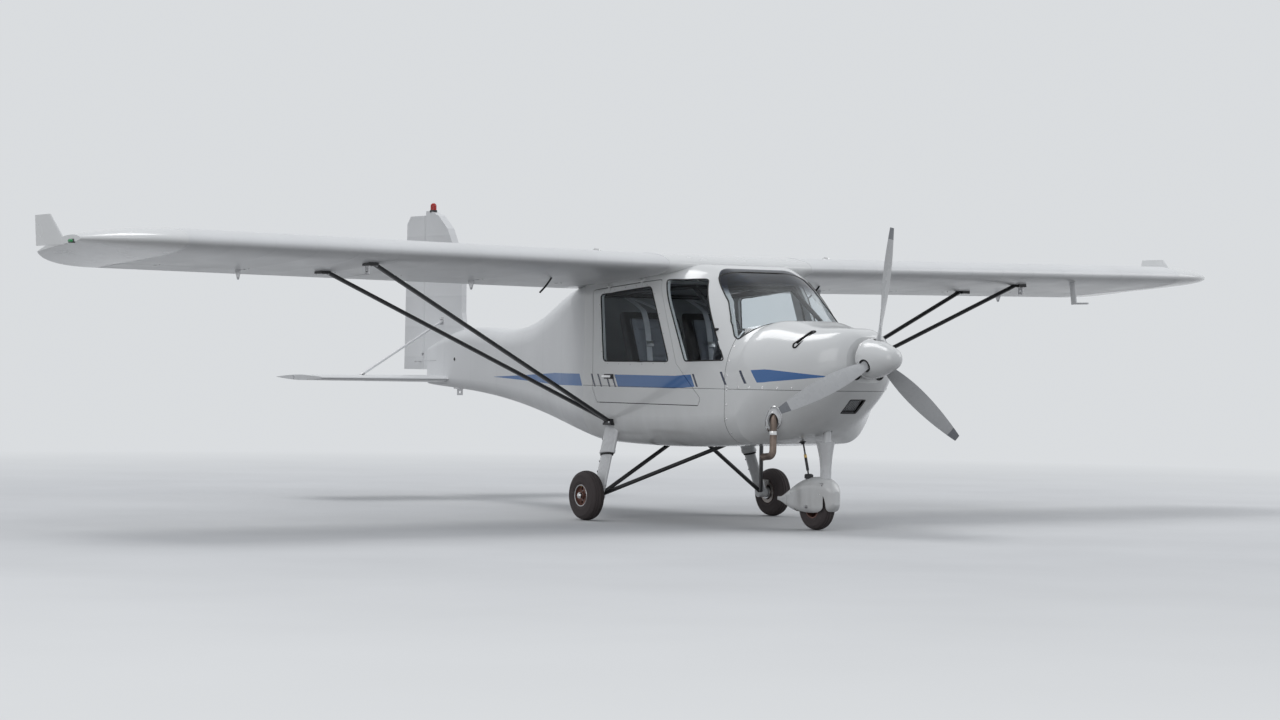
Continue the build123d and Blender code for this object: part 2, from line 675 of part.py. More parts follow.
def make_tyre(radius, width):
    """A tyre round the Z axis: a rounded tread between bulging side walls."""
    half, bead = width / 2, width * 0.42
    mid = RIM_RADIUS + (radius - RIM_RADIUS) * 0.45
    shoulder = radius - width * 0.1
    right = ThreePointArc((RIM_RADIUS, bead), (mid, half), (shoulder, width * 0.34))
    tread = ThreePointArc(right @ 1, (radius, 0), (shoulder, -width * 0.34))
    left = ThreePointArc(tread @ 1, (mid, -half), (RIM_RADIUS, -bead))
    base = Line(left @ 1, right @ 0)
    return revolve(Plane.XZ * make_face([right, tread, left, base]), Axis.Z)


def make_rim(width):
    """A wheel round the Z axis: a barrel, a dished web with holes, and a bored hub."""
    half = width * 0.42
    rim = Cylinder(RIM_RADIUS, 2 * half) - Cylinder(RIM_RADIUS - 7, 2 * half + 2)
    rim += Pos(0, 0, half - 24) * Cylinder(RIM_RADIUS - 5, 8)
    rim += Cylinder(27, 2 * half)
    for index in range(5):
        angle = radians(72 * index + 18)
        rim -= Pos(49 * cos(angle), 49 * sin(angle), half - 24) * Cylinder(12, 20)
    return rim - Cylinder(AXLE_RADIUS + RUNNING_FIT, 2 * half + 2)


MAIN_LEG_TOP = (535, 2400, 705)
MAIN_LEG_FOOT = (694, 2344, 190)
MAIN_LEG_STEP_HEIGHT = 455
MAIN_LEG_UPPER = (158, 56)  # chord, thickness
MAIN_LEG_LOWER = (120, 42)
BRACE_RADIUS = 14
BRACE_FEET = ((95, 2255, 535), (95, 1550, 545))
BRACE_LOW = (690, 2335, 172)
AXLE_INNER = 668


def make_main_leg(cabin):
    """A telescopic main leg in its two streamlined sleeves, and the axle block at its foot."""
    top, foot = at(*MAIN_LEG_TOP), at(*MAIN_LEG_FOOT)
    share = (top.Z - MAIN_LEG_STEP_HEIGHT) / (top.Z - foot.Z)
    step = top + (foot - top) * share
    leg = streamlined_rod(top, step, *MAIN_LEG_UPPER)
    leg += streamlined_rod(step, foot, *MAIN_LEG_LOWER)
    low = Vector(AXLE_INNER, y_of(MAIN_WHEEL_STATION), MAIN_TYRE_RADIUS)
    leg += rod(low, low + Vector(64, 0, 0), 34)
    return largest(leg - cabin)


def make_main_axle(leg):
    """The stub axle and its brake flange, from the leg's foot out through the wheel."""
    start = Vector(AXLE_INNER, y_of(MAIN_WHEEL_STATION), MAIN_TYRE_RADIUS)
    outer_end = MAIN_TRACK / 2 + MAIN_TYRE_WIDTH * 0.42
    axle = rod(start, Vector(outer_end + 14, start.Y, start.Z), AXLE_RADIUS)
    flange_at = MAIN_TRACK / 2 - MAIN_TYRE_WIDTH * 0.42 - 6
    axle += rod(Vector(flange_at - 14, start.Y, start.Z), Vector(flange_at, start.Y, start.Z), 46)
    axle += rod(Vector(outer_end + 0.5, start.Y, start.Z), Vector(outer_end + 14, start.Y, start.Z), 22)
    return largest(axle - leg)


def leg_brace(foot):
    """One brace tube, from its plate under the belly to the leg's foot."""
    tube = rod(at(*BRACE_LOW), at(*foot) + Vector(0, 0, 30), BRACE_RADIUS)
    return tube + Pos(*at(foot[0], foot[1], foot[2] - 4)) * Box(46, 60, 34)


def make_leg_braces(cabin, leg, axle):
    """The two black tubes that hold a main wheel out from the belly: the rear one and the front one."""
    rear_foot, front_foot = BRACE_FEET
    rear = leg_brace(rear_foot) + Pos(*at(*BRACE_LOW)) * Box(30, 70, 40)
    rear = largest(rear - cabin - leg - axle)
    return rear, largest(leg_brace(front_foot) - cabin - leg - axle - rear)


NOSE_FORK_INNER = NOSE_TYRE_WIDTH / 2 + 9
NOSE_FORK_THICKNESS = 8
FORK_CROWN_HEIGHT = 300
NOSE_FAIRING_SECTIONS = ((345, 100, 50), (470, 116, 56), (582, 176, 82))  # height, chord, thickness
NOSE_FAIRING_TRAIL = 0.12  # share of the chord that the fairing's middle lies aft of the tube
NOSE_LEG_TOP = 820


def make_nose_leg():
    """The steered nose leg: its tube, its fairing and the fork that holds the wheel."""
    axis_low, axis_high = at(0, NOSE_LEG_STATION, FORK_CROWN_HEIGHT), at(0, NOSE_LEG_STATION, NOSE_LEG_TOP)
    leg = rod(axis_low, axis_high, NOSE_LEG_RADIUS)
    fairing = []
    for height, chord, thickness in NOSE_FAIRING_SECTIONS:
        plane = Plane(origin=at(0, NOSE_LEG_STATION + chord * NOSE_FAIRING_TRAIL, height), x_dir=(0, 1, 0))
        fairing.append(plane * Ellipse(chord / 2, thickness / 2))
    leg += loft(fairing)
    outer = NOSE_FORK_INNER + NOSE_FORK_THICKNESS
    leg += box_between(
        (-outer, NOSE_LEG_STATION - 26, FORK_CROWN_HEIGHT),
        (outer, NOSE_LEG_STATION + 26, FORK_CROWN_HEIGHT + 12),
    )
    plate = (
        (NOSE_LEG_STATION - 26, FORK_CROWN_HEIGHT + 12),
        (NOSE_LEG_STATION + 26, FORK_CROWN_HEIGHT + 12),
        (NOSE_WHEEL_STATION + 24, NOSE_TYRE_RADIUS),
        (NOSE_WHEEL_STATION, NOSE_TYRE_RADIUS - 24),
        (NOSE_WHEEL_STATION - 24, NOSE_TYRE_RADIUS),
    )
    for low, high in ((NOSE_FORK_INNER, outer), (-outer, -NOSE_FORK_INNER)):
        leg += side_prism(plate, low, high)
    return leg


TOW_PIN_RADIUS = 9
TOW_PIN_LENGTH = 18
TOW_PIN_SHOULDER = 87  # how far the axle reaches each side, past the spat
NOSE_SHAFT_RADIUS = 11


def make_nose_axle():
    """The nose axle, whose two ends stand out of the spat as pins for a tow bar."""
    middle = at(0, NOSE_WHEEL_STATION, NOSE_TYRE_RADIUS)
    shoulder, reach = Vector(TOW_PIN_SHOULDER, 0, 0), Vector(TOW_PIN_SHOULDER + TOW_PIN_LENGTH, 0, 0)
    axle = rod(middle - reach, middle + reach, TOW_PIN_RADIUS)
    axle += rod(middle - shoulder, middle + shoulder, NOSE_SHAFT_RADIUS)
    inner = Vector(NOSE_FORK_INNER, 0, 0)
    return axle + rod(middle - inner, middle + inner, AXLE_RADIUS)


def make_spat(leg, axle):
    """The nose wheel's streamlined spat, open below, on the fork's outer faces."""
    outer = body(SPAT_SECTIONS)
    half = NOSE_FORK_INNER + NOSE_FORK_THICKNESS
    well = rod(
        Vector(-half, y_of(NOSE_WHEEL_STATION), NOSE_TYRE_RADIUS),
        Vector(half, y_of(NOSE_WHEEL_STATION), NOSE_TYRE_RADIUS),
        NOSE_TYRE_RADIUS + 9,
    )
    crown = box_between(
        (-half, NOSE_LEG_STATION - 34, 180), (half, NOSE_LEG_STATION + 34, FORK_CROWN_HEIGHT + 14)
    )
    low = box_between(
        (-half, NOSE_WHEEL_STATION - NOSE_TYRE_RADIUS - 9, 0),
        (half, NOSE_WHEEL_STATION + NOSE_TYRE_RADIUS + 9, NOSE_TYRE_RADIUS),
    )
    return largest(outer - well - crown - low - leg - axle)


# Tail
FIN_OUTLINE = (
    (LENGTH - 980, 1180), (LENGTH - 915, 1450), (LENGTH - 912, 1780), (LENGTH - 700, 2110),
    (LENGTH - 560, 2215), (LENGTH - 430, 2256), (RUDDER_HINGE, 2256),
)
FIN_THICKNESS = 62
RUDDER_BOTTOM = 1000
RUDDER_TOP = 2222
RUDDER_NOSE = 26
FIN_FOOT = 1000
TAIL_LUG_THICKNESS = 8


def symmetric_plate(leading, trailing, thickness, low, high):
    """An upright symmetrical aerofoil between two stations, from one height to another."""
    chord = trailing - leading
    plane = Plane(origin=at(0, leading, low), x_dir=(0, 1, 0), z_dir=(0, 0, 1))
    return extrude(plane * aerofoil(chord, thickness / chord), amount=high - low)


def fin_and_rudder_blank():
    return symmetric_plate(LENGTH - 985, LENGTH + 4, FIN_THICKNESS, FIN_FOOT, 2300)


RUDDER_LUG_HEIGHTS = (1120, 1960)


def rudder_line(low, high, radius):
    return rod(at(0, RUDDER_HINGE, low), at(0, RUDDER_HINGE, high), radius)


def make_fin(blank, boom):
    """The fin with its rudder lugs, standing on the boom."""
    outline = FIN_OUTLINE + ((RUDDER_HINGE, FIN_FOOT), (BOOM_END - 40, FIN_FOOT), (BOOM_END - 40, 1180))
    fin = blank & side_prism(outline, -60, 60)
    fin -= rudder_line(900, 2400, RUDDER_NOSE + CLEARANCE)
    for height in RUDDER_LUG_HEIGHTS:
        half = TAIL_LUG_THICKNESS / 2
        fin += rudder_line(height - half, height + half, 14)
        fin += box_between((-9, RUDDER_HINGE - 60, height - half), (9, RUDDER_HINGE, height + half))
        fin += rudder_line(height - 26, height + 26, LUG_PIN_RADIUS)
    return largest(fin - boom)


def make_rudder(blank):
    """The rudder, with a round nose about its hinge line and slots for the fin's lugs."""
    outline = (
        (RUDDER_HINGE, RUDDER_BOTTOM), (LENGTH - 8, RUDDER_BOTTOM), (LENGTH - 30, RUDDER_TOP - 60),
        (LENGTH - 90, RUDDER_TOP), (RUDDER_HINGE, RUDDER_TOP),
    )
    rudder = blank & side_prism(outline, -60, 60)
    rudder += rudder_line(RUDDER_BOTTOM, RUDDER_TOP, RUDDER_NOSE)
    for height in RUDDER_LUG_HEIGHTS:
        half = TAIL_LUG_THICKNESS / 2 + CLEARANCE
        rudder -= box_between((-60, RUDDER_HINGE - 60, height - half), (60, RUDDER_HINGE + 22, height + half))
        rudder -= rudder_line(height - 27, height + 27, LUG_PIN_RADIUS + RUNNING_FIT)
    return rudder


# Tailplane ends: lateral, leading edge, trailing edge, thickness
TAILPLANE_ROOT = (0, LENGTH - 910, LENGTH - 110, 56)
TAILPLANE_TIP = (TAILPLANE_SPAN / 2, LENGTH - 690, LENGTH - 120, 42)
ELEVATOR_NOSE = 18
TORQUE_TUBE_RADIUS = 12
ELEVATOR_LUGS = (330, 700, 1070)


def tail_section(row):
    lateral, leading, trailing, thickness = row
    chord = trailing - leading
    plane = Plane(origin=at(lateral, leading, TAILPLANE_HEIGHT), x_dir=(0, 1, 0), z_dir=(1, 0, 0))
    return plane * aerofoil(chord, thickness / chord)


def plan_prism(points, low, high):
    """A plan-view outline of (lateral, station) points, from one height to another."""
    outline = make_face(Polyline([(lateral, y_of(station)) for lateral, station in points], close=True))
    return extrude(Pos(0, 0, low) * outline, amount=high - low)


def tail_blank():
    """The port half of the tailplane and elevator together, with its rounded tip."""
    blank = loft([tail_section(TAILPLANE_ROOT), tail_section(TAILPLANE_TIP)], ruled=True)
    half = TAILPLANE_SPAN / 2
    front, rear = TAILPLANE_TIP[1], TAILPLANE_TIP[2]
    outline = (
        (0, front - 400), (half - 140, front - 60), (half, front + 60), (half, rear - 10), (0, rear + 60),
    )
    return blank & plan_prism(outline, 800, 1060)


def elevator_line(low, high, radius):
    return rod(at(low, ELEVATOR_HINGE, TAILPLANE_HEIGHT), at(high, ELEVATOR_HINGE, TAILPLANE_HEIGHT), radius)


def make_tailplane(blank):
    """The fixed tailplane in one piece through the boom, with its elevator lugs."""
    behind = box_between((-10, ELEVATOR_HINGE, 700), (TAILPLANE_SPAN, LENGTH + 100, 1200))
    half = blank - behind - elevator_line(-10, TAILPLANE_SPAN, ELEVATOR_NOSE + CLEARANCE)
    for lateral in ELEVATOR_LUGS:
        thick = TAIL_LUG_THICKNESS / 2
        half += elevator_line(lateral - thick, lateral + thick, 11)
        half += box_between(
            (lateral - thick, ELEVATOR_HINGE - 60, TAILPLANE_HEIGHT - 8),
            (lateral + thick, ELEVATOR_HINGE, TAILPLANE_HEIGHT + 8),
        )
        half += elevator_line(lateral - 22, lateral + 22, LUG_PIN_RADIUS)
    return half + mirrored(half)


def make_elevator(blank):
    """Both elevator halves, joined by the torque tube behind the boom."""
    half = TAILPLANE_SPAN / 2
    outline = (
        (70, ELEVATOR_HINGE), (half, ELEVATOR_HINGE), (half, LENGTH), (245, LENGTH), (245, LENGTH - 110),
    )
    elevator = blank & plan_prism(outline, 700, 1200)
    elevator += elevator_line(75, half - 30, ELEVATOR_NOSE)
    for lateral in ELEVATOR_LUGS:
        gap = TAIL_LUG_THICKNESS / 2 + CLEARANCE
        elevator -= box_between(
            (lateral - gap, ELEVATOR_HINGE - 60, 800), (lateral + gap, ELEVATOR_HINGE + 18, 1060)
        )
        elevator -= elevator_line(lateral - 23, lateral + 23, LUG_PIN_RADIUS + RUNNING_FIT)
    tube = elevator_line(-80, 80, TORQUE_TUBE_RADIUS)
    return elevator + mirrored(elevator) + tube


TAIL_EYE_PLACE = (5330, 858)  # station, height
TAIL_STRUT_TOP = (20, LENGTH - 640, 1390)
TAIL_STRUT_FOOT = (760, LENGTH - 600, 935)
TAIL_STRUT_RADIUS = 9


def make_tail_struts(fin, tailplane):
    strut = rod(at(*TAIL_STRUT_TOP), at(*TAIL_STRUT_FOOT), TAIL_STRUT_RADIUS)
    strut = largest(strut - fin - tailplane)
    return Compound(children=[strut, mirrored(strut)])


def make_rear_fuselage(outer, tailplane):
    """The hollow rear fuselage and boom, closed at its end, with the tailplane's slot."""
    inner = body(REAR_SECTIONS, REAR_WALL) - box_between((-300, BOOM_END - 60, 0), (300, LENGTH, 2500))
    return largest(outer - inner - tailplane)


def make_wing_tie_down(strut):
    """The tie-down eye under the front strut's pad."""
    height = wing_underside(STRUT_JOIN, STRUT_FRONT_STATION) - STRUT_PAD[2] / 2
    return largest(tie_down_eye(STRUT_JOIN + EYE_OUT, STRUT_FRONT_STATION, height, True) - strut)


def make_tail_tie_down(rear):
    """The tail's tie-down eye, on a plate that follows the boom's underside."""
    station, height = TAIL_EYE_PLACE
    eye = tie_down_eye(0, station, height, False)
    eye += Pos(*at(0, station, height + 6)) * Box(60, 90, 22)
    return largest(eye - rear)


def make_beacon(fin):
    base = at(0, LENGTH - 430, 2250)
    beacon = rod(base, base + Vector(0, 0, 46), 24) + Pos(*(base + Vector(0, 0, 46))) * Sphere(24)
    return largest(beacon - fin)


PITOT_PLACE = (3150, 1760)


def make_pitot(wing):
    """The mast and tube of the air-speed probe under the port wing."""
    lateral, station = PITOT_PLACE
    top = wing_underside(lateral, station)
    mast = streamlined_rod(at(lateral, station + 25, top + 12), at(lateral, station, top - 165), 60, 16)
    mast += rod(at(lateral, station - 150, top - 160), at(lateral, station + 20, top - 160), 7)
    return largest(mast - wing)


# Inside the cabin
SEAT_WIDTH = 460
SEAT_CENTRE = 262
SEAT_FOOT = FLOOR_HEIGHT + FLOOR_THICKNESS + SEAT_GAP
SEAT_OUTLINE = (
    (1720, 780), (1735, 885), (2110, 868), (2330, 1440), (2415, 1440), (2430, 1400), (2215, 770),
    (2190, SEAT_FOOT), (1760, SEAT_FOOT),
)
PANEL_STATION = 1225
PANEL_BOTTOM = 1010
STICK_STATION = 1640
FRAME_RADIUS = 16


def make_seats():
    port = side_prism(SEAT_OUTLINE, SEAT_CENTRE - SEAT_WIDTH / 2, SEAT_CENTRE + SEAT_WIDTH / 2)
    port = fillet(port.edges().filter_by(Axis.X), 14)
    return Compound(children=[port, mirrored(port)])


def make_floor(inner):
    return inner & box_between(
        (-900, FIREWALL_STATION, FLOOR_HEIGHT), (900, CABIN_REAR - 10, FLOOR_HEIGHT + FLOOR_THICKNESS)
    )


def make_instrument_panel():
    """The instrument panel, and the coaming between it and the foot of the windscreen."""
    inner = body(CABIN_SECTIONS, CABIN_WALL + SEAT_GAP)
    coaming = inner & box_between(
        (-900, SCREEN_BASE[0] + 12, COAMING_HEIGHT), (900, PANEL_STATION, COAMING_HEIGHT + COAMING_THICKNESS)
    )
    panel = inner & box_between(
        (-900, PANEL_STATION - COAMING_THICKNESS, PANEL_BOTTOM), (900, PANEL_STATION, COAMING_HEIGHT + 2)
    )
    return largest(coaming + panel)


def make_stick():
    """The control stick between the seats, with its grip."""
    foot = at(0, STICK_STATION, FLOOR_HEIGHT + FLOOR_THICKNESS)
    top = at(0, STICK_STATION + 40, 1010)
    grip = rod(top - (top - foot).normalized() * 130, top + (top - foot).normalized() * 10, 19)
    socket = rod(foot, foot + Vector(0, 0, 24), 42)
    return socket + rod(foot + Vector(0, 0, 10), top, 11) + grip


# Cabin frame tubes: two ends, each lateral, station, height
FRAME_TUBES = (
    ((440, 1105, 1215), (415, 1650, 1600)),
    ((415, 1650, 1600), (-415, 1650, 1600)),
    ((415, 1650, 1600), (500, 2645, 1550)),
    ((500, 2645, 1550), (500, 2645, 606)),
    ((500, 2645, 1550), (-500, 2645, 1550)),
)


def make_cabin_frame(inner, obstacles):
    frame = None
    for start, end in FRAME_TUBES:
        for points in ((at(*start), at(*end)), (at(-start[0], *start[1:]), at(-end[0], *end[1:]))):
            piece = rod(points[0], points[1], FRAME_RADIUS) + Pos(*points[1]) * Sphere(FRAME_RADIUS)
            frame = piece if frame is None else frame + piece
    frame &= inner
    for obstacle in obstacles:
        frame -= obstacle
    return largest(frame)


def make_all():
    """Every piece by its node's name, in place."""
    nodes = {}
    cabin_outer, cabin_inner = body(CABIN_SECTIONS, -SEAT_GAP), body(CABIN_SECTIONS, CABIN_WALL + SEAT_GAP)
    rear_outer, rear_clear = body(REAR_SECTIONS), body(REAR_SECTIONS, -SEAT_GAP)
    shell = make_shell()
    nodes["cabin_shell"] = make_cabin_shell(shell)
    windscreen, quarter, door_window = make_glass()
    nodes["windscreen"] = windscreen
    nodes["quarter_windows"] = Compound(children=[quarter, mirrored(quarter)])
    door = make_door(shell)
    nodes["door_left"], nodes["door_right"] = door, mirrored(door)
    nodes["door_window_left"], nodes["door_window_right"] = door_window, mirrored(door_window)

    nodes["upper_cowl"], nodes["lower_cowl"] = split_cowl(make_cowl())
    engine = make_engine()
    nodes["engine_block"] = engine
    nodes["engine_mount"] = make_engine_mount()
    nodes["exhaust_pipe"] = make_exhaust(engine)
    nodes["propeller"] = make_propeller()
    nodes["spinner"] = make_spinner()

    wing = make_wing()
    nodes["wing_left"], nodes["wing_right"] = wing, mirrored(wing)
    tip = make_wing_tip()
    nodes["wing_tip_left"], nodes["wing_tip_right"] = tip, mirrored(tip)
    flap = make_moving_surface(FLAP_START, FLAP_END)
    nodes["flap_left"], nodes["flap_right"] = flap, mirrored(flap)
    aileron = make_moving_surface(AILERON_START, AILERON_END)
    nodes["aileron_left"], nodes["aileron_right"] = aileron, mirrored(aileron)
    nodes["wing_centre_fairing"] = make_centre_fairing(cabin_outer, rear_clear)
    front_strut, rear_strut = make_wing_struts(cabin_outer, wing)
    names = ("wing_struts_front", "wing_struts_rear", "wing_tie_downs")
    for name, piece in zip(names, (front_strut, rear_strut, make_wing_tie_down(front_strut))):
        nodes[name] = Compound(children=[piece, mirrored(piece)])
    nodes["pitot_mast"] = make_pitot(wing)

    leg = make_main_leg(cabin_outer)
    axle = make_main_axle(leg)
    nodes["main_leg_left"], nodes["main_leg_right"] = leg, mirrored(leg)
    nodes["main_axles"] = Compound(children=[axle, mirrored(axle)])
    for name, brace in zip(("leg_braces_rear", "leg_braces_front"), make_leg_braces(cabin_outer, leg, axle)):
        nodes[name] = Compound(children=[brace, mirrored(brace)])
    place = wheel_turn(MAIN_TRACK / 2, MAIN_WHEEL_STATION, MAIN_TYRE_RADIUS)
    tyre, rim = place * make_tyre(MAIN_TYRE_RADIUS, MAIN_TYRE_WIDTH), place * make_rim(MAIN_TYRE_WIDTH)
    nodes["main_tyre_left"], nodes["main_tyre_right"] = tyre, mirrored(tyre)
    nodes["main_wheel_left"], nodes["main_wheel_right"] = rim, mirrored(rim)

    place = wheel_turn(0, NOSE_WHEEL_STATION, NOSE_TYRE_RADIUS)
    nodes["nose_tyre"] = place * make_tyre(NOSE_TYRE_RADIUS, NOSE_TYRE_WIDTH)
    nodes["nose_wheel"] = place * make_rim(NOSE_TYRE_WIDTH)
    nose_axle = make_nose_axle()
    nose_leg = make_nose_leg() - nose_axle
    nodes["nose_leg"], nodes["nose_axle"] = nose_leg, nose_axle
    nodes["nose_spat"] = make_spat(nose_leg, nose_axle)

    blank = tail_blank()
    tailplane = make_tailplane(blank)
    nodes["tailplane"] = tailplane
    nodes["elevator"] = make_elevator(blank)
    nodes["rear_fuselage"] = make_rear_fuselage(rear_outer, tailplane)
    upright = fin_and_rudder_blank()
    fin = make_fin(upright, rear_clear)
    nodes["fin"] = fin
    nodes["rudder"] = make_rudder(upright)
    nodes["tail_struts"] = make_tail_struts(fin, tailplane)
    nodes["beacon"] = make_beacon(fin)
    nodes["tail_tie_down"] = make_tail_tie_down(rear_clear)

    nodes["cabin_floor"] = make_floor(cabin_inner)
    panel = make_instrument_panel()
    nodes["instrument_panel"] = panel
    nodes["seats"] = make_seats()
    nodes["control_stick"] = make_stick()
    nodes["cabin_frame"] = make_cabin_frame(cabin_inner, (panel, nodes["cabin_floor"]))
    return nodes


# The origin of the finished part is under the middle of the aircraft's length
to_middle = Pos(0, DRAWING_ORIGIN - LENGTH / 2, 0)
for name, shape in make_all().items():
    export_step(shape.moved(to_middle), f"parts/{name}.step")
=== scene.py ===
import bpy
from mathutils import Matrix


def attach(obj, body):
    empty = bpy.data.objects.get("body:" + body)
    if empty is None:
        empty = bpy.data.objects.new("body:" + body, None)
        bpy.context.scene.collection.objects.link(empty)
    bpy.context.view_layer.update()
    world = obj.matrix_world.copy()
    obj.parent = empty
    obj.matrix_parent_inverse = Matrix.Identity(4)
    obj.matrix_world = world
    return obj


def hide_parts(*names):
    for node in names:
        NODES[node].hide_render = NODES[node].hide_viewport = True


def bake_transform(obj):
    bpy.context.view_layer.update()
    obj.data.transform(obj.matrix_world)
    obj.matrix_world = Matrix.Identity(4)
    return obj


bl_info = {
    "name": "Microlight Aircraft",
    "version": (1, 0, 0),
    "blender": (4, 5, 0),
    "location": "View3D > Sidebar > Aircraft",
    "description": "Finishes and detail for a two-seat high-wing microlight aircraft",
    "category": "Object",
}

from functools import reduce
from math import copysign, cos, pi, radians, sin

import bpy
from bpy.props import FloatProperty, FloatVectorProperty, PointerProperty
from bpy.types import Operator, Panel, PropertyGroup
from mathutils import Euler, Matrix, Vector
from mathutils.bvhtree import BVHTree

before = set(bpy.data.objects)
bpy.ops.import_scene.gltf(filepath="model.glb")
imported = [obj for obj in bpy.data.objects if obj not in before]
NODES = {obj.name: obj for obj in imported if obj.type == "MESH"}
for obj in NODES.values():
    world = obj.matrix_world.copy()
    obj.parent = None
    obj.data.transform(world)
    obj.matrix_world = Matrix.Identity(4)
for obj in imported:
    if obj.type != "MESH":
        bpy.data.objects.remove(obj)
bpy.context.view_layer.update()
SIDES = ((1, "left"), (-1, "right"))
AFT = (0, 1, 0)

# Places are in metres: X to port, Y aft, Z up. A station is a distance aft of the spinner's tip.
NOSE_Y = -3.1


def at(lateral, station, height):
    """A point by its distance to port, its station and its height."""
    return Vector((lateral, station + NOSE_Y, height))


# Sizes and colours
def length_property(label, detail, value):
    return FloatProperty(name=label, description=detail, default=value, unit="LENGTH")


class AircraftSizes(PropertyGroup):
    """Sizes of the added detail."""

    seal_radius: length_property("Seal radius", "Radius of a window's rubber seal", 0.0048)
    strap_width: length_property("Strap width", "Width of the harness webbing", 0.046)
    rib_spacing: length_property("Rib spacing", "Distance between the wing's ribs", 0.295)


def colour_property(label, value):
    return FloatVectorProperty(
        name=label, description=label, subtype="COLOR", size=3, min=0, max=1, default=value
    )


class AircraftColours(PropertyGroup):
    """Colours of the aircraft's finishes."""

    white: colour_property("White paint", (0.80, 0.81, 0.81))
    fabric: colour_property("White fabric", (0.78, 0.79, 0.80))
    stripe: colour_property("Blue stripe", (0.045, 0.16, 0.42))
    pin_line: colour_property("Dark pin line", (0.03, 0.04, 0.08))
    glass: colour_property("Glazing", (0.82, 0.86, 0.88))
    tint: colour_property("Windscreen's tinted arch", (0.05, 0.07, 0.12))
    blade: colour_property("Propeller blade", (0.55, 0.56, 0.57))
    cloth: colour_property("Seat cloth", (0.055, 0.060, 0.075))
    tyre: colour_property("Tyre", (0.026, 0.022, 0.020))


# Shader nodes
def link_value(tree, socket, value):
    """Joins a node's output to a socket, or sets a plain value on it."""
    if isinstance(value, bpy.types.NodeSocket):
        tree.links.new(value, socket)
    elif value is not None:
        socket.default_value = value


def calculate(tree, operation, first, second=None, third=None):
    """A Math node's result."""
    node = tree.nodes.new("ShaderNodeMath")
    node.operation = operation
    for socket, value in zip(node.inputs, (first, second, third)):
        link_value(tree, socket, value)
    return node.outputs[0]


def product(tree, first, second):
    return calculate(tree, "MULTIPLY", first, second)


def difference(tree, first, second):
    return calculate(tree, "SUBTRACT", first, second)


def near_to(tree, value, centre, half):
    """1 where a value is within a distance of a centre."""
    return calculate(tree, "COMPARE", value, centre, half)


def ramp_between(tree, value, low, high, start=0.0, end=1.0):
    """A value that goes evenly from start to end between two limits."""
    node = tree.nodes.new("ShaderNodeMapRange")
    numbers = {"Value": value, "From Min": low, "From Max": high, "To Min": start, "To Max": end}
    for name, number in numbers.items():
        link_value(tree, node.inputs[name], number)
    return node.outputs["Result"]


def blend_colours(tree, share, first, second):
    """Two colours mixed by a share."""
    node = tree.nodes.new("ShaderNodeMix")
    node.data_type = "RGBA"
    link_value(tree, node.inputs["Factor"], share)
    for name, colour in (("A", first), ("B", second)):
        socket = next(s for s in node.inputs if s.name == name and s.type == "RGBA")
        link_value(tree, socket, (*colour, 1) if isinstance(colour, tuple) else colour)
    return next(s for s in node.outputs if s.type == "RGBA")


def noise(tree, scale, detail=3.0, stretch=None):
    """Smooth noise on the object's own coordinates, drawn out along an axis by a stretch."""
    place = tree.nodes.new("ShaderNodeTexCoord").outputs["Object"]
    if stretch:
        mapping = tree.nodes.new("ShaderNodeMapping")
        mapping.inputs["Scale"].default_value = stretch
        tree.links.new(place, mapping.inputs["Vector"])
        place = mapping.outputs[0]
    node = tree.nodes.new("ShaderNodeTexNoise")
    node.inputs["Scale"].default_value = scale
    node.inputs["Detail"].default_value = detail
    tree.links.new(place, node.inputs["Vector"])
    return node.outputs["Fac"]


def axes(tree):
    """The object coordinates as three values."""
    split = tree.nodes.new("ShaderNodeSeparateXYZ")
    tree.links.new(tree.nodes.new("ShaderNodeTexCoord").outputs["Object"], split.inputs[0])
    return split.outputs


def raise_surface(tree, shader, height, strength, distance):
    """Adds a bump on top of any that the shader already has."""
    bump = tree.nodes.new("ShaderNodeBump")
    bump.inputs["Strength"].default_value = strength
    bump.inputs["Distance"].default_value = distance
    tree.links.new(height, bump.inputs["Height"])
    socket = shader.inputs["Normal"]
    if socket.is_linked:
        tree.links.new(socket.links[0].from_socket, bump.inputs["Normal"])
    tree.links.new(bump.outputs[0], socket)


def colour_of(name):
    return tuple(getattr(bpy.context.scene.aircraft_colours, name))


def sizes():
    return bpy.context.scene.aircraft_sizes


PATCH_RANGE = (0.3, 0.7)  # noise values between which a finish goes from its dark to its light patches


def start_finish(name, colour, rough, metallic=0.0, mottle=0.04, patch=4.0, grain=0.0, grain_scale=900.0):
    """A finish whose colour and gloss vary in soft patches and whose grain is a fine bump."""
    material = bpy.data.materials.new(name)
    material.use_nodes = True
    tree = material.node_tree
    shader = tree.nodes["Principled BSDF"]
    dark = tuple(c * (1 - 2 * mottle) for c in colour)
    light = tuple(min(1, c * (1 + mottle)) for c in colour)
    base = blend_colours(tree, ramp_between(tree, noise(tree, patch), *PATCH_RANGE), dark, light)
    tree.links.new(base, shader.inputs["Base Color"])
    patches = noise(tree, patch * 3.1)
    gloss = ramp_between(tree, patches, *PATCH_RANGE, rough * 0.85, min(1, rough * 1.18))
    tree.links.new(gloss, shader.inputs["Roughness"])
    shader.inputs["Metallic"].default_value = metallic
    if grain:
        raise_surface(tree, shader, noise(tree, grain_scale, 2), grain, 0.001)
    return tree, shader


def base_colour(shader):
    """The colour that a finish has so far."""
    return shader.inputs["Base Color"].links[0].from_socket


def cover(tree, shader, share, colour):
    """Lays a colour over the base colour where a share is 1."""
    tree.links.new(blend_colours(tree, share, base_colour(shader), colour), shader.inputs["Base Color"])


def set_coat(shader, weight, rough):
    """A clear coat over a finish."""
    shader.inputs["Coat Weight"].default_value = weight
    shader.inputs["Coat Roughness"].default_value = rough


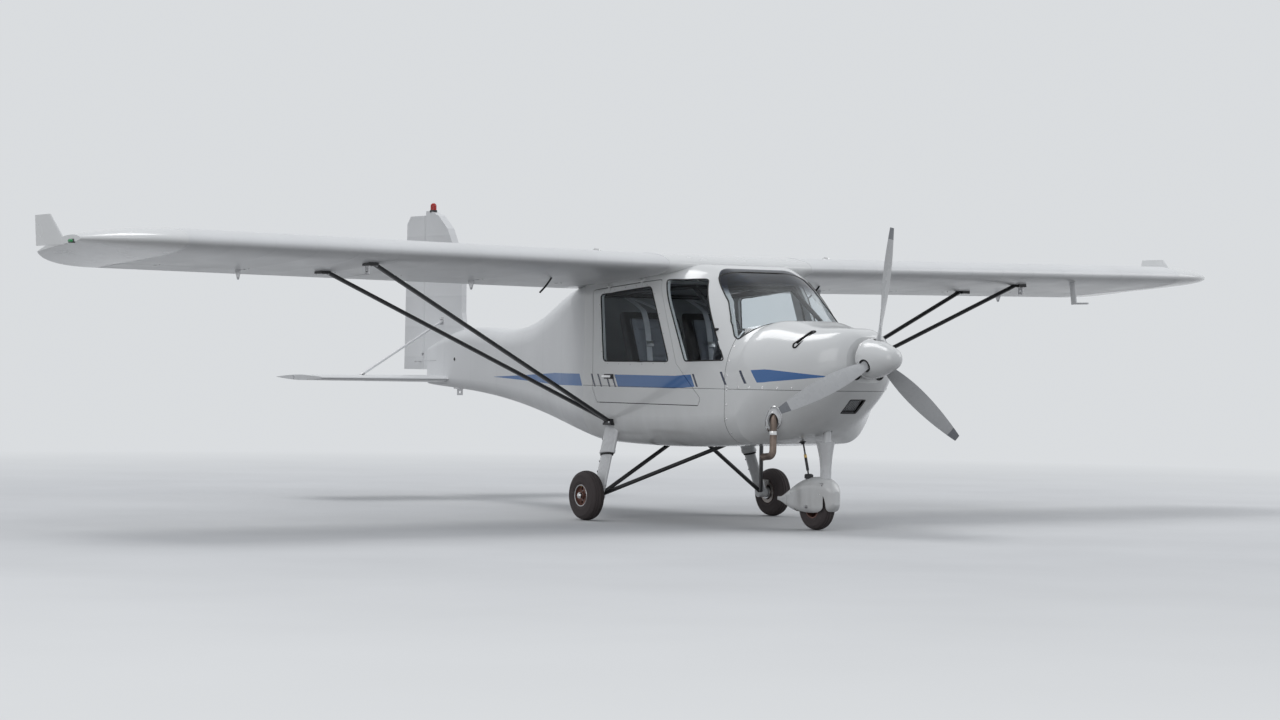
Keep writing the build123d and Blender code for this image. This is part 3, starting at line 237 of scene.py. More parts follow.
def add_dirt(tree, shader, top, strength, colour=(0.16, 0.13, 0.10)):
    """Road dirt that thickens towards the ground, in streaks."""
    height = ramp_between(tree, axes(tree)["Z"], top, 0.0)
    streaks = ramp_between(tree, noise(tree, 9.0, 5, (1, 1, 0.4)), 0.35, 0.75)
    share = product(tree, product(tree, height, streaks), strength)
    cover(tree, shader, share, colour)


# Stripe along the body: station limits of its blue lengths, and the stations of the slanted pin lines
BLUE_LENGTHS = ((-1.0, 0.850), (1.40, 2.29), (2.735, 5.0))
PIN_LINES = (0.93, 1.095, 1.375, 2.32, 2.39, 2.49, 2.57)
PIN_HALF_WIDTH = 0.010
PIN_HALF_HEIGHT = 0.044
STRIPE_SLANT = 0.53
STRIPE_HALF_HEIGHT = 0.042
STRIPE_MIDDLE = (1.6, 0.75, 0.957, 1.012)  # two stations, and the height of its middle at each
STRIPE_NOSE = (0.36, 0.78)  # stations between which it widens
STRIPE_TAIL = (3.3, 4.55)  # stations between which it narrows to nothing

SEAM_STATION = 1.0795  # joint behind the cowling
SEAM_HEIGHT = 0.9195  # joint between the cowling's halves
SEAM_HALF_WIDTH = 0.0016
SEAM_COLOUR = (0.05, 0.05, 0.055)


def any_of(tree, shares):
    """1 where any of several shares is 1."""
    return reduce(lambda first, second: calculate(tree, "ADD", first, second), shares)


def add_stripe(tree, shader):
    """The blue stripe that runs from the cowling to the tail, with its white gaps and pin lines."""
    place = axes(tree)
    station = difference(tree, place["Y"], NOSE_Y)
    rise = difference(tree, place["Z"], ramp_between(tree, station, *STRIPE_MIDDLE))
    widening = ramp_between(tree, station, *STRIPE_NOSE, 0.0, STRIPE_HALF_HEIGHT)
    half = product(tree, widening, ramp_between(tree, station, *STRIPE_TAIL, 1.0, 0.0))
    inside = calculate(tree, "LESS_THAN", calculate(tree, "ABSOLUTE", rise), half)
    slanted = difference(tree, station, product(tree, rise, STRIPE_SLANT))
    lengths = [near_to(tree, slanted, (low + high) / 2, (high - low) / 2) for low, high in BLUE_LENGTHS]
    cover(tree, shader, product(tree, inside, any_of(tree, lengths)), colour_of("stripe"))
    lines = [near_to(tree, slanted, where, PIN_HALF_WIDTH) for where in PIN_LINES]
    within = near_to(tree, rise, 0.0, PIN_HALF_HEIGHT)
    cover(tree, shader, product(tree, within, any_of(tree, lines)), colour_of("pin_line"))


def add_seams(tree, shader):
    """Dark joints behind the cowling and between its halves."""
    place = axes(tree)
    station = difference(tree, place["Y"], NOSE_Y)
    for value, where in ((station, SEAM_STATION), (place["Z"], SEAM_HEIGHT)):
        joint = near_to(tree, value, where, SEAM_HALF_WIDTH)
        cover(tree, shader, joint, SEAM_COLOUR)
        raise_surface(tree, shader, difference(tree, 1.0, joint), 0.6, 0.002)


def paint_shell():
    """Gloss white paint on moulded shells, with the stripe and the panel joints."""
    tree, shader = start_finish("white_shell_paint", colour_of("white"), 0.22, mottle=0.02, patch=2.2)
    raise_surface(tree, shader, noise(tree, 260.0, 2), 0.05, 0.0006)
    set_coat(shader, 0.6, 0.06)
    add_dirt(tree, shader, 0.95, 0.30)
    add_stripe(tree, shader)
    add_seams(tree, shader)


def fabric_tapes(tree, shader, value, spacing, offset):
    """Rib tapes under painted fabric: a soft ridge at each rib, and the cloth drawn in between."""
    along = calculate(tree, "DIVIDE", difference(tree, value, offset), spacing)
    wave = calculate(tree, "PINGPONG", along, 0.5)
    sag = calculate(tree, "POWER", product(tree, wave, 2.0), 0.5)
    raise_surface(tree, shader, difference(tree, 1.0, sag), 0.5, 0.006)
    tape = calculate(tree, "LESS_THAN", wave, 0.040)
    raise_surface(tree, shader, tape, 0.35, 0.0012)
    cover(tree, shader, product(tree, tape, 0.05), (0.60, 0.61, 0.62))


def paint_fabric(name, axis, spacing, offset):
    """Painted fabric over ribs that stand along one axis."""
    tree, shader = start_finish(name, colour_of("fabric"), 0.36, mottle=0.025, patch=1.6)
    raise_surface(tree, shader, noise(tree, 1500.0, 2), 0.10, 0.0004)
    value = axes(tree)[axis]
    if axis == "X":
        value = calculate(tree, "ABSOLUTE", value)
    fabric_tapes(tree, shader, value, spacing, offset)
    set_coat(shader, 0.25, 0.18)
    return tree, shader


THREAD_SPACING = 0.0032


def weave_cloth():
    """Seat cloth: a fine crossed weave with a little sheen."""
    tree, shader = start_finish("seat_cloth", colour_of("cloth"), 0.88, mottle=0.10, patch=9)
    place = axes(tree)
    threads = None
    for axis in "XYZ":
        wave = calculate(tree, "SINE", product(tree, place[axis], 2 * pi / THREAD_SPACING))
        if threads is None:
            threads = wave
        else:
            threads = product(tree, threads, calculate(tree, "ADD", wave, 1.6))
    raise_surface(tree, shader, threads, 0.35, 0.0006)
    raise_surface(tree, shader, noise(tree, 18.0, 3), 0.20, 0.003)
    shader.inputs["Sheen Weight"].default_value = 0.35
    shader.inputs["Sheen Roughness"].default_value = 0.5


BLADE_TIP_RADIUS = 0.775
PROPELLER_HEIGHT = 1.130


def sum_of_squares(tree, first, second):
    squares = [product(tree, value, value) for value in (first, second)]
    return calculate(tree, "ADD", *squares)


def paint_blades():
    """Pale blades with a darker band at the tips."""
    tree, shader = start_finish(
        "blade_paint", colour_of("blade"), 0.28, mottle=0.03, patch=5, grain=0.03, grain_scale=400
    )
    place = axes(tree)
    rise = difference(tree, place["Z"], PROPELLER_HEIGHT)
    beyond = calculate(tree, "GREATER_THAN", sum_of_squares(tree, place["X"], rise), BLADE_TIP_RADIUS**2)
    cover(tree, shader, beyond, (0.20, 0.21, 0.23))
    set_coat(shader, 0.4, 0.1)


def paint_glass(name):
    """Clear glazing."""
    tree, shader = start_finish(name, colour_of("glass"), 0.03, mottle=0.01, patch=3.0)
    shader.inputs["Transmission Weight"].default_value = 1.0
    shader.inputs["IOR"].default_value = 1.12
    return tree, shader


ARCH_HEIGHTS = (1.575, 1.635)  # heights between which the windscreen's tint sets in, at its middle
ARCH_DROP = 0.22  # how much lower the tint starts for each square metre of distance from the middle


def paint_windscreen():
    """Glossy glazing with a dark arch across its top."""
    tree, shader = paint_glass("windscreen_glass")
    set_coat(shader, 0.7, 0.04)
    place = axes(tree)
    square = calculate(tree, "POWER", calculate(tree, "ABSOLUTE", place["X"]), 2.0)
    height = calculate(tree, "ADD", place["Z"], product(tree, square, ARCH_DROP))
    cover(tree, shader, ramp_between(tree, height, *ARCH_HEIGHTS), colour_of("tint"))


# Plain finishes: name, colour, roughness, metallic, mottle, patch size, grain, grain scale
FINISHES = (
    ("white_metal_paint", (0.78, 0.79, 0.80), 0.26, 0, 0.03, 5, 0.03, 300),
    ("black_tube_paint", (0.018, 0.018, 0.020), 0.34, 0, 0.10, 9, 0.05, 500),
    ("plated_steel", (0.52, 0.52, 0.53), 0.30, 1, 0.06, 14, 0.05, 800),
    ("bare_alloy", (0.58, 0.59, 0.60), 0.38, 1, 0.07, 12, 0.08, 700),
    ("cast_alloy", (0.42, 0.41, 0.40), 0.52, 0.9, 0.10, 20, 0.30, 420),
    ("wheel_paint", (0.24, 0.125, 0.10), 0.46, 0.25, 0.16, 22, 0.15, 420),
    ("brake_steel", (0.36, 0.33, 0.31), 0.42, 1, 0.10, 25, 0.10, 600),
    ("engine_casting", (0.17, 0.17, 0.175), 0.60, 0.8, 0.10, 18, 0.35, 300),
    ("hot_steel", (0.24, 0.19, 0.16), 0.46, 0.9, 0.22, 14, 0.12, 350),
    ("bright_steel", (0.72, 0.72, 0.72), 0.20, 1, 0.04, 9, 0.03, 500),
    ("brass", (0.60, 0.42, 0.17), 0.30, 1, 0.06, 16, 0.04, 500),
    ("black_rubber", (0.022, 0.022, 0.023), 0.72, 0, 0.12, 20, 0.18, 500),
    ("black_plastic", (0.028, 0.028, 0.030), 0.50, 0, 0.08, 12, 0.22, 900),
    ("panel_black", (0.030, 0.031, 0.034), 0.58, 0, 0.08, 10, 0.30, 1100),
    ("grey_lining", (0.30, 0.31, 0.33), 0.82, 0, 0.06, 8, 0.40, 800),
    ("floor_mat", (0.050, 0.052, 0.056), 0.92, 0, 0.14, 18, 0.60, 650),
    ("gauge_white", (0.75, 0.75, 0.72), 0.55, 0, 0.02, 9, 0.0, 1),
    ("red_lens", (0.45, 0.015, 0.012), 0.12, 0, 0.05, 20, 0.05, 300),
    ("green_lens", (0.01, 0.30, 0.08), 0.12, 0, 0.05, 20, 0.05, 300),
    ("red_handle", (0.42, 0.03, 0.02), 0.40, 0, 0.06, 12, 0.10, 500),
    ("strap_webbing", (0.62, 0.63, 0.66), 0.80, 0, 0.05, 25, 0.20, 900),
    ("dial_black", (0.012, 0.012, 0.013), 0.30, 0, 0.04, 15, 0.05, 600),
)

# CAD nodes and their finishes
NODE_FINISHES = {
    "white_shell_paint": (
        "cabin_shell", "upper_cowl", "lower_cowl", "door_left", "door_right", "nose_spat", "spinner",
    ),
    "wing_fabric": (
        "wing_left", "wing_right", "flap_left", "flap_right", "aileron_left", "aileron_right",
        "tailplane", "elevator",
    ),
    "wing_shell_paint": ("wing_tip_left", "wing_tip_right", "wing_centre_fairing"),
    "body_fabric": ("rear_fuselage",),
    "fin_fabric": ("fin", "rudder"),
    "white_metal_paint": ("main_leg_left", "main_leg_right", "nose_leg", "tail_struts", "pitot_mast"),
    "windscreen_glass": ("windscreen",),
    "side_glass": ("quarter_windows", "door_window_left", "door_window_right"),
    "black_tube_paint": (
        "wing_struts_front", "wing_struts_rear", "leg_braces_front", "leg_braces_rear", "cabin_frame",
    ),
    "black_plastic": ("control_stick",),
    "panel_black": ("instrument_panel",),
    "grey_lining": ("seats",),
    "floor_mat": ("cabin_floor",),
    "engine_casting": ("engine_block",),
    "bare_alloy": ("engine_mount",),
    "hot_steel": ("exhaust_pipe",),
    "plated_steel": ("main_axles", "nose_axle", "tail_tie_down", "wing_tie_downs"),
    "wheel_paint": ("main_wheel_left", "main_wheel_right", "nose_wheel"),
    "tyre_rubber": ("main_tyre_left", "main_tyre_right", "nose_tyre"),
    "blade_paint": ("propeller",),
    "red_lens": ("beacon",),
}


def make_finishes():
    """Every finish by its name."""
    for row in FINISHES:
        start_finish(*row)
    paint_shell()
    weave_cloth()
    paint_blades()
    paint_fabric("wing_fabric", "X", sizes().rib_spacing, 0.602)
    tree, shader = paint_fabric("body_fabric", "Y", 0.45, -0.40)
    add_stripe(tree, shader)
    add_dirt(tree, shader, 0.95, 0.22)
    paint_fabric("fin_fabric", "Z", 0.24, 1.10)
    paint_windscreen()
    paint_glass("side_glass")
    _, shader = start_finish("wing_shell_paint", colour_of("white"), 0.24, mottle=0.02, patch=2)
    set_coat(shader, 0.5, 0.08)
    tree, shader = start_finish(
        "tyre_rubber", colour_of("tyre"), 0.78, mottle=0.2, patch=14, grain=0.3, grain_scale=450
    )
    add_dirt(tree, shader, 0.40, 0.45, (0.20, 0.15, 0.12))


class AIRCRAFT_OT_paint(Operator):
    """Gives every carried-over part its finish"""

    bl_idname = "aircraft.paint"
    bl_label = "Paint the parts"

    def execute(self, context):
        make_finishes()
        for finish, names in NODE_FINISHES.items():
            for name in names:
                slots = NODES[name].data.materials
                slots.clear()
                slots.append(bpy.data.materials[finish])
        return {"FINISHED"}


# Stage
CAMERA_PLACE = (-12.17, -17.73, 1.12)
CAMERA_AIM = (-0.05, -0.30, 1.10)
CAMERA_ROLL = radians(0.79)
CAMERA_LENS = 84
CAMERA_REACH = 1000

# Lamps: name, place, size and energy
LAMPS = (
    ("key_lamp", (-3.0, 9.0, 22.0), 10.0, 1300),
    ("fill_lamp", (-13.0, -9.0, 6.0), 10.0, 400),
    ("far_lamp", (11.0, -6.0, 8.0), 9.0, 420),
)
LAMP_AIM = (0, 0, 0.8)

FLOOR_SIZE = 400
FLOOR_COLOUR = (0.74, 0.75, 0.76)
FLOOR_BOUNCE = (0.24, 0.24, 0.24)  # the floor's colour for the light that it throws back up
FLOOR_FADE = (5.5, 13.0)  # distances over which the floor fades into the backdrop
BACKDROP = (0.70, 0.72, 0.74)
SURROUND = (0.86, 0.89, 0.94)
SURROUND_STRENGTH = 0.54


def aim(place, target):
    """The turn that points a lamp or a camera from a place to a target."""
    return (Vector(target) - Vector(place)).to_track_quat("-Z", "Y")


class AIRCRAFT_OT_stage(Operator):
    """Adds the floor, the lamps and the camera"""

    bl_idname = "aircraft.stage"
    bl_label = "Set the stage"

    def execute(self, context):
        scene = context.scene
        clear()
        bpy.ops.mesh.primitive_plane_add(size=FLOOR_SIZE)
        floor = context.object
        floor.name = "floor"
        lay_floor_finish()
        floor.data.materials.append(bpy.data.materials["pale_floor"])
        for name, place, size, energy in LAMPS:
            bpy.ops.object.light_add(type="AREA", location=place)
            lamp = context.object
            lamp.name = name
            lamp.data.size = size
            lamp.data.energy = energy
            lamp.rotation_euler = aim(place, LAMP_AIM).to_euler()
        set_world(scene)
        bpy.ops.object.camera_add(location=CAMERA_PLACE)
        camera = context.object
        camera.data.lens = CAMERA_LENS
        camera.data.clip_end = CAMERA_REACH
        roll = Matrix.Rotation(CAMERA_ROLL, 3, "Z")
        camera.rotation_euler = (aim(CAMERA_PLACE, CAMERA_AIM).to_matrix() @ roll).to_euler()
        scene.camera = camera
        scene.view_settings.view_transform = "Standard"
        return {"FINISHED"}


def seen_directly(tree):
    """1 for rays from the camera, and for those that metal and glass pass on."""
    path = tree.nodes.new("ShaderNodeLightPath").outputs
    share = calculate(tree, "MAXIMUM", path["Is Camera Ray"], path["Is Glossy Ray"])
    return calculate(tree, "MAXIMUM", share, path["Is Transmission Ray"])


def show_other(tree, share, usual, other, end):
    """Shows another shader than the usual one where a share is 1."""
    mix = tree.nodes.new("ShaderNodeMixShader")
    link_value(tree, mix.inputs[0], share)
    tree.links.new(usual.outputs[0], mix.inputs[1])
    tree.links.new(other.outputs[0], mix.inputs[2])
    tree.links.new(mix.outputs[0], tree.nodes[end].inputs["Surface"])


def lay_floor_finish():
    """A pale floor that keeps the aircraft's shadow, and fades into the backdrop far away."""
    tree, shader = start_finish("pale_floor", FLOOR_COLOUR, 0.9, mottle=0.02, patch=0.8)
    shader.inputs["Specular IOR Level"].default_value = 0.0
    seen = blend_colours(tree, seen_directly(tree), FLOOR_BOUNCE, base_colour(shader))
    tree.links.new(seen, shader.inputs["Base Color"])
    place = axes(tree)
    distance = calculate(tree, "SQRT", sum_of_squares(tree, place["X"], place["Y"]))
    share = product(tree, ramp_between(tree, distance, *FLOOR_FADE), seen_directly(tree))
    glow = tree.nodes.new("ShaderNodeEmission")
    glow.inputs["Color"].default_value = (*BACKDROP, 1)
    show_other(tree, share, shader, glow, "Material Output")


def set_world(scene):
    """Even light all round, and a plain pale backdrop for the camera."""
    scene.world = bpy.data.worlds.new("surround")
    scene.world.use_nodes = True
    tree = scene.world.node_tree
    light = tree.nodes["Background"]
    light.inputs["Color"].default_value = (*SURROUND, 1)
    light.inputs["Strength"].default_value = SURROUND_STRENGTH
    backdrop = tree.nodes.new("ShaderNodeBackground")
    backdrop.inputs["Color"].default_value = (*BACKDROP, 1)
    show_other(tree, seen_directly(tree), light, backdrop, "World Output")


def clear():
    """Object mode with nothing selected."""
    if bpy.context.mode != "OBJECT":
        bpy.ops.object.mode_set(mode="OBJECT")
    bpy.ops.object.select_all(action="DESELECT")


def pick(*pieces):
    """Selects these pieces, the first of them active."""
    clear()
    for piece in pieces:
        piece.select_set(True)
    bpy.context.view_layer.objects.active = pieces[0]


def modify(piece, kind, **settings):
    """Adds a modifier and applies it."""
    modifier = piece.modifiers.new(kind.lower(), kind)
    for name, value in settings.items():
        setattr(modifier, name, value)
    pick(piece)
    bpy.ops.object.modifier_apply(modifier=modifier.name)


SHARP_EDGE = radians(35)  # the least angle of an edge that is rounded
SMOOTH_ANGLE = 38  # degrees between faces up to which they shade as one surface


def round_edges(piece, width, segments=2):
    if width:
        modify(piece, "BEVEL", width=width, segments=segments, limit_method="ANGLE", angle_limit=SHARP_EDGE)


def settle(piece, name, finish, body="airframe", angle=SMOOTH_ANGLE):
    """Ends a piece, or joins and ends a list of them.

    Its place goes into its mesh, and it gets its name, its finish and the body that it rides on.
    """
    if isinstance(piece, list):
        piece = join(piece)
    pick(piece)
    bpy.ops.object.transform_apply(location=True, rotation=True, scale=True)
    if angle:
        bpy.ops.object.shade_smooth_by_angle(angle=radians(angle))
    piece.name = piece.data.name = name
    piece.data.materials.clear()
    piece.data.materials.append(bpy.data.materials[finish])
    if body:
        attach(piece, body)
    return piece


def facing(direction):
    """The turn that points a piece's own Z along a direction."""
    return Vector(direction).to_track_quat("Z", "Y").to_euler()


def set_size(piece, size):
    """Gives a piece its size, in its mesh."""
    piece.scale = size
    pick(piece)
    bpy.ops.object.transform_apply(location=False, rotation=False, scale=True)


def block(place, size, round_by=0.003, turn=(0, 0, 0)):
    """A rounded block, to be shaped further or joined to others."""
    clear()
    bpy.ops.mesh.primitive_cube_add(size=1, location=place, rotation=turn)
    piece = bpy.context.object
    set_size(piece, size)
    round_edges(piece, round_by)
    return piece


def drum(place, radius, depth, direction=(0, 0, 1), round_by=0.002, sides=32):
    """A short round bar with eased rims."""
    clear()
    bpy.ops.mesh.primitive_cylinder_add(
        vertices=sides, radius=radius, depth=depth, location=place, rotation=facing(direction)
    )
    piece = bpy.context.object
    round_edges(piece, round_by)
    return piece


def edit_whole():
    """Edit mode with the whole mesh selected."""
    bpy.ops.object.mode_set(mode="EDIT")
    bpy.ops.mesh.select_all(action="SELECT")


def face_out():
    """Turns every face outwards and ends edit mode."""
    bpy.ops.mesh.select_all(action="SELECT")
    bpy.ops.mesh.normals_make_consistent(inside=False)
    bpy.ops.object.mode_set(mode="OBJECT")


def turned(profile, place, direction=(0, 0, 1), steps=40):
    """A form turned round an axis from its half outline of (radius, along) points."""
    clear()
    mesh = bpy.data.meshes.new("turned")
    points = [(radius, 0, along) for radius, along in profile]
    mesh.from_pydata(points, [(i, i + 1) for i in range(len(points) - 1)], [])
    piece = bpy.data.objects.new("turned", mesh)
    bpy.context.scene.collection.objects.link(piece)
    pick(piece)
    edit_whole()
    bpy.ops.mesh.spin(steps=steps, angle=2 * pi, center=(0, 0, 0), axis=(0, 0, 1))
    bpy.ops.mesh.select_all(action="SELECT")
    bpy.ops.mesh.remove_doubles(threshold=0.00005)
    face_out()
    piece.location = place
    piece.rotation_euler = facing(direction)
    return piece


def pipe(points, radius, closed=False, sides=3, order=3):
    """A tube that follows points in a smooth line."""
    clear()
    bpy.ops.curve.primitive_nurbs_path_add()
    piece = bpy.context.object
    curve = piece.data
    curve.splines.clear()
    spline = curve.splines.new("NURBS")
    spline.points.add(len(points) - 1)
    for point, place in zip(spline.points, points):
        point.co = (*place, 1)
    spline.use_cyclic_u = closed
    spline.use_endpoint_u = not closed
    spline.order_u = min(order, len(points))
    spline.resolution_u = 4
    curve.bevel_depth = radius
    curve.bevel_resolution = sides
    curve.use_fill_caps = not closed
    pick(piece)
    bpy.ops.object.convert(target="MESH")
    return bpy.context.object


def join(pieces):
    """Several pieces made one."""
    pick(*pieces)
    if len(pieces) > 1:
        bpy.ops.object.join()
    return bpy.context.object


def duplicate(piece):
    """A copy of a piece with its own mesh."""
    other = piece.copy()
    other.data = piece.data.copy()
    bpy.context.scene.collection.objects.link(other)
    return other


def copies(source, places):
    """Copies of a small piece, each turned so that its Z points along a normal, joined into one."""
    made = []
    for place, normal in places:
        copy = duplicate(source)
        copy.location = place
        copy.rotation_euler = facing(normal)
        made.append(copy)
    bpy.data.objects.remove(source)
    return join(made)


def skin_of(*names):
    """A tree of the surfaces of CAD nodes, for finding places on them."""
    points, faces = [], []
    for name in names:
        mesh = NODES[name].data
        first = len(points)
        points += [vertex.co.copy() for vertex in mesh.vertices]
        faces += [[first + index for index in polygon.vertices] for polygon in mesh.polygons]
    return BVHTree.FromPolygons(points, faces)


BODY_SKIN = (
    "cabin_shell", "upper_cowl", "lower_cowl", "rear_fuselage", "windscreen", "quarter_windows",
    "door_left", "door_right", "door_window_left", "door_window_right",
)


LOOK_FROM = 0.2  # how far off a look at a near surface starts
LOOK_FROM_SIDE = 2  # lateral place from which the body's sides are looked at


def look(skin, start, toward):
    """The first place on a skin along a direction, and its normal."""
    return skin.ray_cast(start, Vector(toward))[:2]


def on_side(skin, side, station, height, proud=0.0):
    """A place on the body's side and its normal, found by looking in from that side."""
    for nudge in (0, 0.003, -0.003, 0.006, -0.006):  # a look can slip through the hair-fine joint round a pane
        start = at(side * LOOK_FROM_SIDE, station + nudge, height - abs(nudge))
        place, normal = look(skin, start, (-side, 0, 0))
        if place is not None and place.x * side > 0:
            return place + normal * proud, normal
    return None


def spots_on_side(skin, sides, spots):
    """Places and normals on the body's sides at (station, height) spots, without those that miss it."""
    found = [on_side(skin, side, *spot) for side in sides for spot in spots]
    return [spot for spot in found if spot]


def upward_from(skin, lateral, station, low=0.4):
    """A place on an underside and its normal."""
    return look(skin, at(lateral, station, low), (0, 0, 1))


def downward_from(skin, lateral, station, high=3.0):
    """A place on an upper surface and its normal."""
    return look(skin, at(lateral, station, high), (0, 0, -1))


def round_steps(count, offset=0.0):
    """The cosines and sines of evenly spaced angles, the first a share of a step on."""
    angles = [2 * pi * (index + offset) / count for index in range(count)]
    return [(cos(angle), sin(angle)) for angle in angles]


def round_corners(points, radius, steps=5):
    """A closed outline of 2-D points with its corners rounded."""
    made = []
    for index, corner in enumerate(points):
        corner = Vector(corner)
        before, after = Vector(points[index - 1]), Vector(points[(index + 1) % len(points)])
        first = corner + (before - corner).normalized() * radius
        last = corner + (after - corner).normalized() * radius
        for step in range(steps + 1):
            share = step / steps
            made.append(first * (1 - share) ** 2 + corner * 2 * share * (1 - share) + last * share**2)
    return made


def rectangle(half_x, half_y):
    return [(-half_x, -half_y), (half_x, -half_y), (half_x, half_y), (-half_x, half_y)]


def steps_between(first, last, spacing, least=1, offset=0.0):
    """Points from one on towards another, about a spacing apart."""
    count = max(least, int((last - first).length / spacing))
    return [first.lerp(last, (step + offset) / count) for step in range(count)]


def even_steps(points, spacing):
    """More points along a closed outline."""
    pairs = zip(points, points[1:] + points[:1])
    return [place for pair in pairs for place in steps_between(*pair, spacing)]


def screw_head(radius):
    """One panel screw: a low stepped head with a shallow round recess in its middle."""
    clear()
    bpy.ops.mesh.primitive_cylinder_add(vertices=12, radius=radius, depth=radius * 0.5)
    piece = bpy.context.object
    bpy.ops.object.mode_set(mode="EDIT")
    bpy.ops.mesh.select_mode(type="FACE")
    bpy.ops.mesh.select_all(action="DESELECT")
    bpy.ops.object.mode_set(mode="OBJECT")
    for polygon in piece.data.polygons:
        polygon.select = polygon.normal.z > 0.9
    bpy.ops.object.mode_set(mode="EDIT")
    bpy.ops.mesh.inset(thickness=radius * 0.3, depth=radius * 0.16)
    bpy.ops.mesh.inset(thickness=radius * 0.3, depth=-radius * 0.14)
    bpy.ops.object.mode_set(mode="OBJECT")
    return piece


def add_screws(places, radius, name, body="airframe"):
    """Bright screw heads at places on a surface."""
    settle(copies(screw_head(radius), places), name, "bright_steel", body)


def add_bolts(places, radius, depth, round_by, name, body="airframe"):
    """Six-sided bolt heads at places on a surface."""
    head = drum((0, 0, 0), radius, depth, round_by=round_by, sides=6)
    settle(copies(head, places), name, "plated_steel", body)


# Windows: outlines of (station, height), as the CAD cuts them
def outline(*points):
    return [Vector(point) for point in points]


WINDSCREEN_SIDE = outline((0.985, 1.350), (1.062, 1.245), (1.100, 1.265), (1.275, 1.495), (1.480, 1.690))
QUARTER_WINDOW = outline((1.108, 1.108), (1.478, 1.648), (1.748, 1.642), (1.490, 1.098))
DOOR_WINDOW = outline((1.885, 1.598), (2.488, 1.548), (2.446, 1.090), (1.672, 1.094))
DOOR_OUTLINE = outline(
    (1.795, 1.642), (2.580, 1.578), (2.575, 0.900), (2.520, 0.808), (1.340, 0.808), (1.318, 0.850), (1.588, 1.080)
)

# Seals on each side: name, outline, corner radius, spacing of points, how proud it lies, and if it moves
# with the door
SEALS = (
    ("door_window_seal", DOOR_WINDOW, 0.03, 0.05, 0.0, True),
    ("quarter_window_seal", QUARTER_WINDOW, 0.022, 0.05, 0.0, False),
    ("door_seal", DOOR_OUTLINE, 0.02, 0.06, -0.031, False),
)
DOOR_SEAL_RADIUS = 0.0065


class AIRCRAFT_OT_windows(Operator):
    """Adds the rubber seals of the glazing and the doors"""

    bl_idname = "aircraft.windows"
    bl_label = "Seal the windows"

    def execute(self, context):
        radius = sizes().seal_radius
        skin = skin_of(*BODY_SKIN)
        for side, word in SIDES:
            for name, points, corner, spacing, proud, on_door in SEALS:
                line = even_steps(round_corners(points, corner), spacing)
                places = [on_side(skin, side, *point, proud)[0] for point in line]
                seal = pipe(places, DOOR_SEAL_RADIUS if name == "door_seal" else radius, closed=True)
                settle(seal, f"{name}_{word}", "black_rubber", f"{word}_door" if on_door else "airframe")
        settle(self.windscreen_seal(skin, radius), "windscreen_seal", "black_rubber")
        return {"FINISHED"}

    def windscreen_seal(self, skin, radius):
        """One loop: up one side of the windscreen, over the roof and down the other side."""
        half = []
        for first, last in zip(WINDSCREEN_SIDE, WINDSCREEN_SIDE[1:]):
            for spot in steps_between(first, last, 0.03, 2):
                found = on_side(skin, 1, *spot)
                if found and found[0].x > 0.12:
                    half.append(found[0])
        other = [Vector((-p.x, p.y, p.z)) for p in reversed(half)]
        top, bottom = self.over(skin, half[-1]), self.over(skin, half[0])
        return pipe(half + top + other + bottom[::-1], radius, closed=True)

    def over(self, skin, edge):
        """Points across the middle, on the body's top, between an edge and its mirror image."""
        shares = (0.8, 0.5, 0.2, -0.2, -0.5, -0.8)
        return [look(skin, Vector((edge.x * share, edge.y, 3)), (0, 0, -1))[0] for share in shares]


# Wheels: kind, the name's ending, body, tyre radius, tyre width, centre, outer side
WHEELS = (
    ("main", "_left", "left_main_wheel", 0.170, 0.108, (0.800, -0.760, 0.170), 1),
    ("main", "_right", "right_main_wheel", 0.170, 0.108, (-0.800, -0.760, 0.170), -1),
    ("nose", "", "nose_wheel_body", 0.155, 0.100, (0.0, -2.288, 0.155), 1),
)
BEAD_RADIUS = 0.076
RIM_SHARE = 0.42  # the rim's half width as a share of the tyre's width

# Tyre's side wall: shares of its depth and of its half width, from the bead up
SIDE_WALL = (
    (0.12, 0.93), (0.20, 0.985), (0.22, 1.0), (0.25, 0.985), (0.45, 1.0), (0.62, 0.96),
    (0.66, 0.97), (0.69, 0.93), (0.80, 0.82), (0.87, 0.72),
)
# Tyre's tread: shares of its width from the shoulder in, and those that lie in a groove
TREAD = (0.34, 0.29, 0.285, 0.235, 0.23, 0.14, 0.135, 0.085, 0.08, 0.0)
GROOVES = ((0.235, 0.285), (0.085, 0.135))
GROOVE_DEPTH = 0.0045


def tyre_outline(radius, width):
    """Half outline of a tyre: bead, side wall with its ribs, shoulder, and the tread's grooves."""
    depth = radius - BEAD_RADIUS
    points = [(BEAD_RADIUS, width * RIM_SHARE)]
    points += [(BEAD_RADIUS + depth * share, width / 2 * along) for share, along in SIDE_WALL]
    for along in TREAD:
        crown = radius - (along / TREAD[0]) ** 2 * width * 0.09
        in_groove = any(low <= along <= high for low, high in GROOVES)
        points.append((crown - (GROOVE_DEPTH if in_groove else 0), along * width))
    return points + [(r, -a) for r, a in reversed(points[:-1])]


class AIRCRAFT_OT_tyres(Operator):
    """Models the grooved tyres in place of the plain ones"""

    bl_idname = "aircraft.tyres"
    bl_label = "Fit the tyres"

    def execute(self, context):
        for kind, tail, body, radius, width, centre, side in WHEELS:
            points = tyre_outline(radius, width)
            tyre = turned(points + [(BEAD_RADIUS, 0.0), points[0]], centre, (side, 0, 0), steps=96)
            settle(tyre, f"{kind}_tyre_tread{tail}", "tyre_rubber", body, angle=30)
            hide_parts(f"{kind}_tyre{tail}")
            line = [(0.020, 0.072), (0.034, 0.066), (0.046, 0.060)]
            stem = pipe([Vector(centre) + Vector((side * x, 0.0, z)) for x, z in line], 0.0035)
            settle(stem, f"{kind}_valve_stem{tail}", "brass", body)
        return {"FINISHED"}


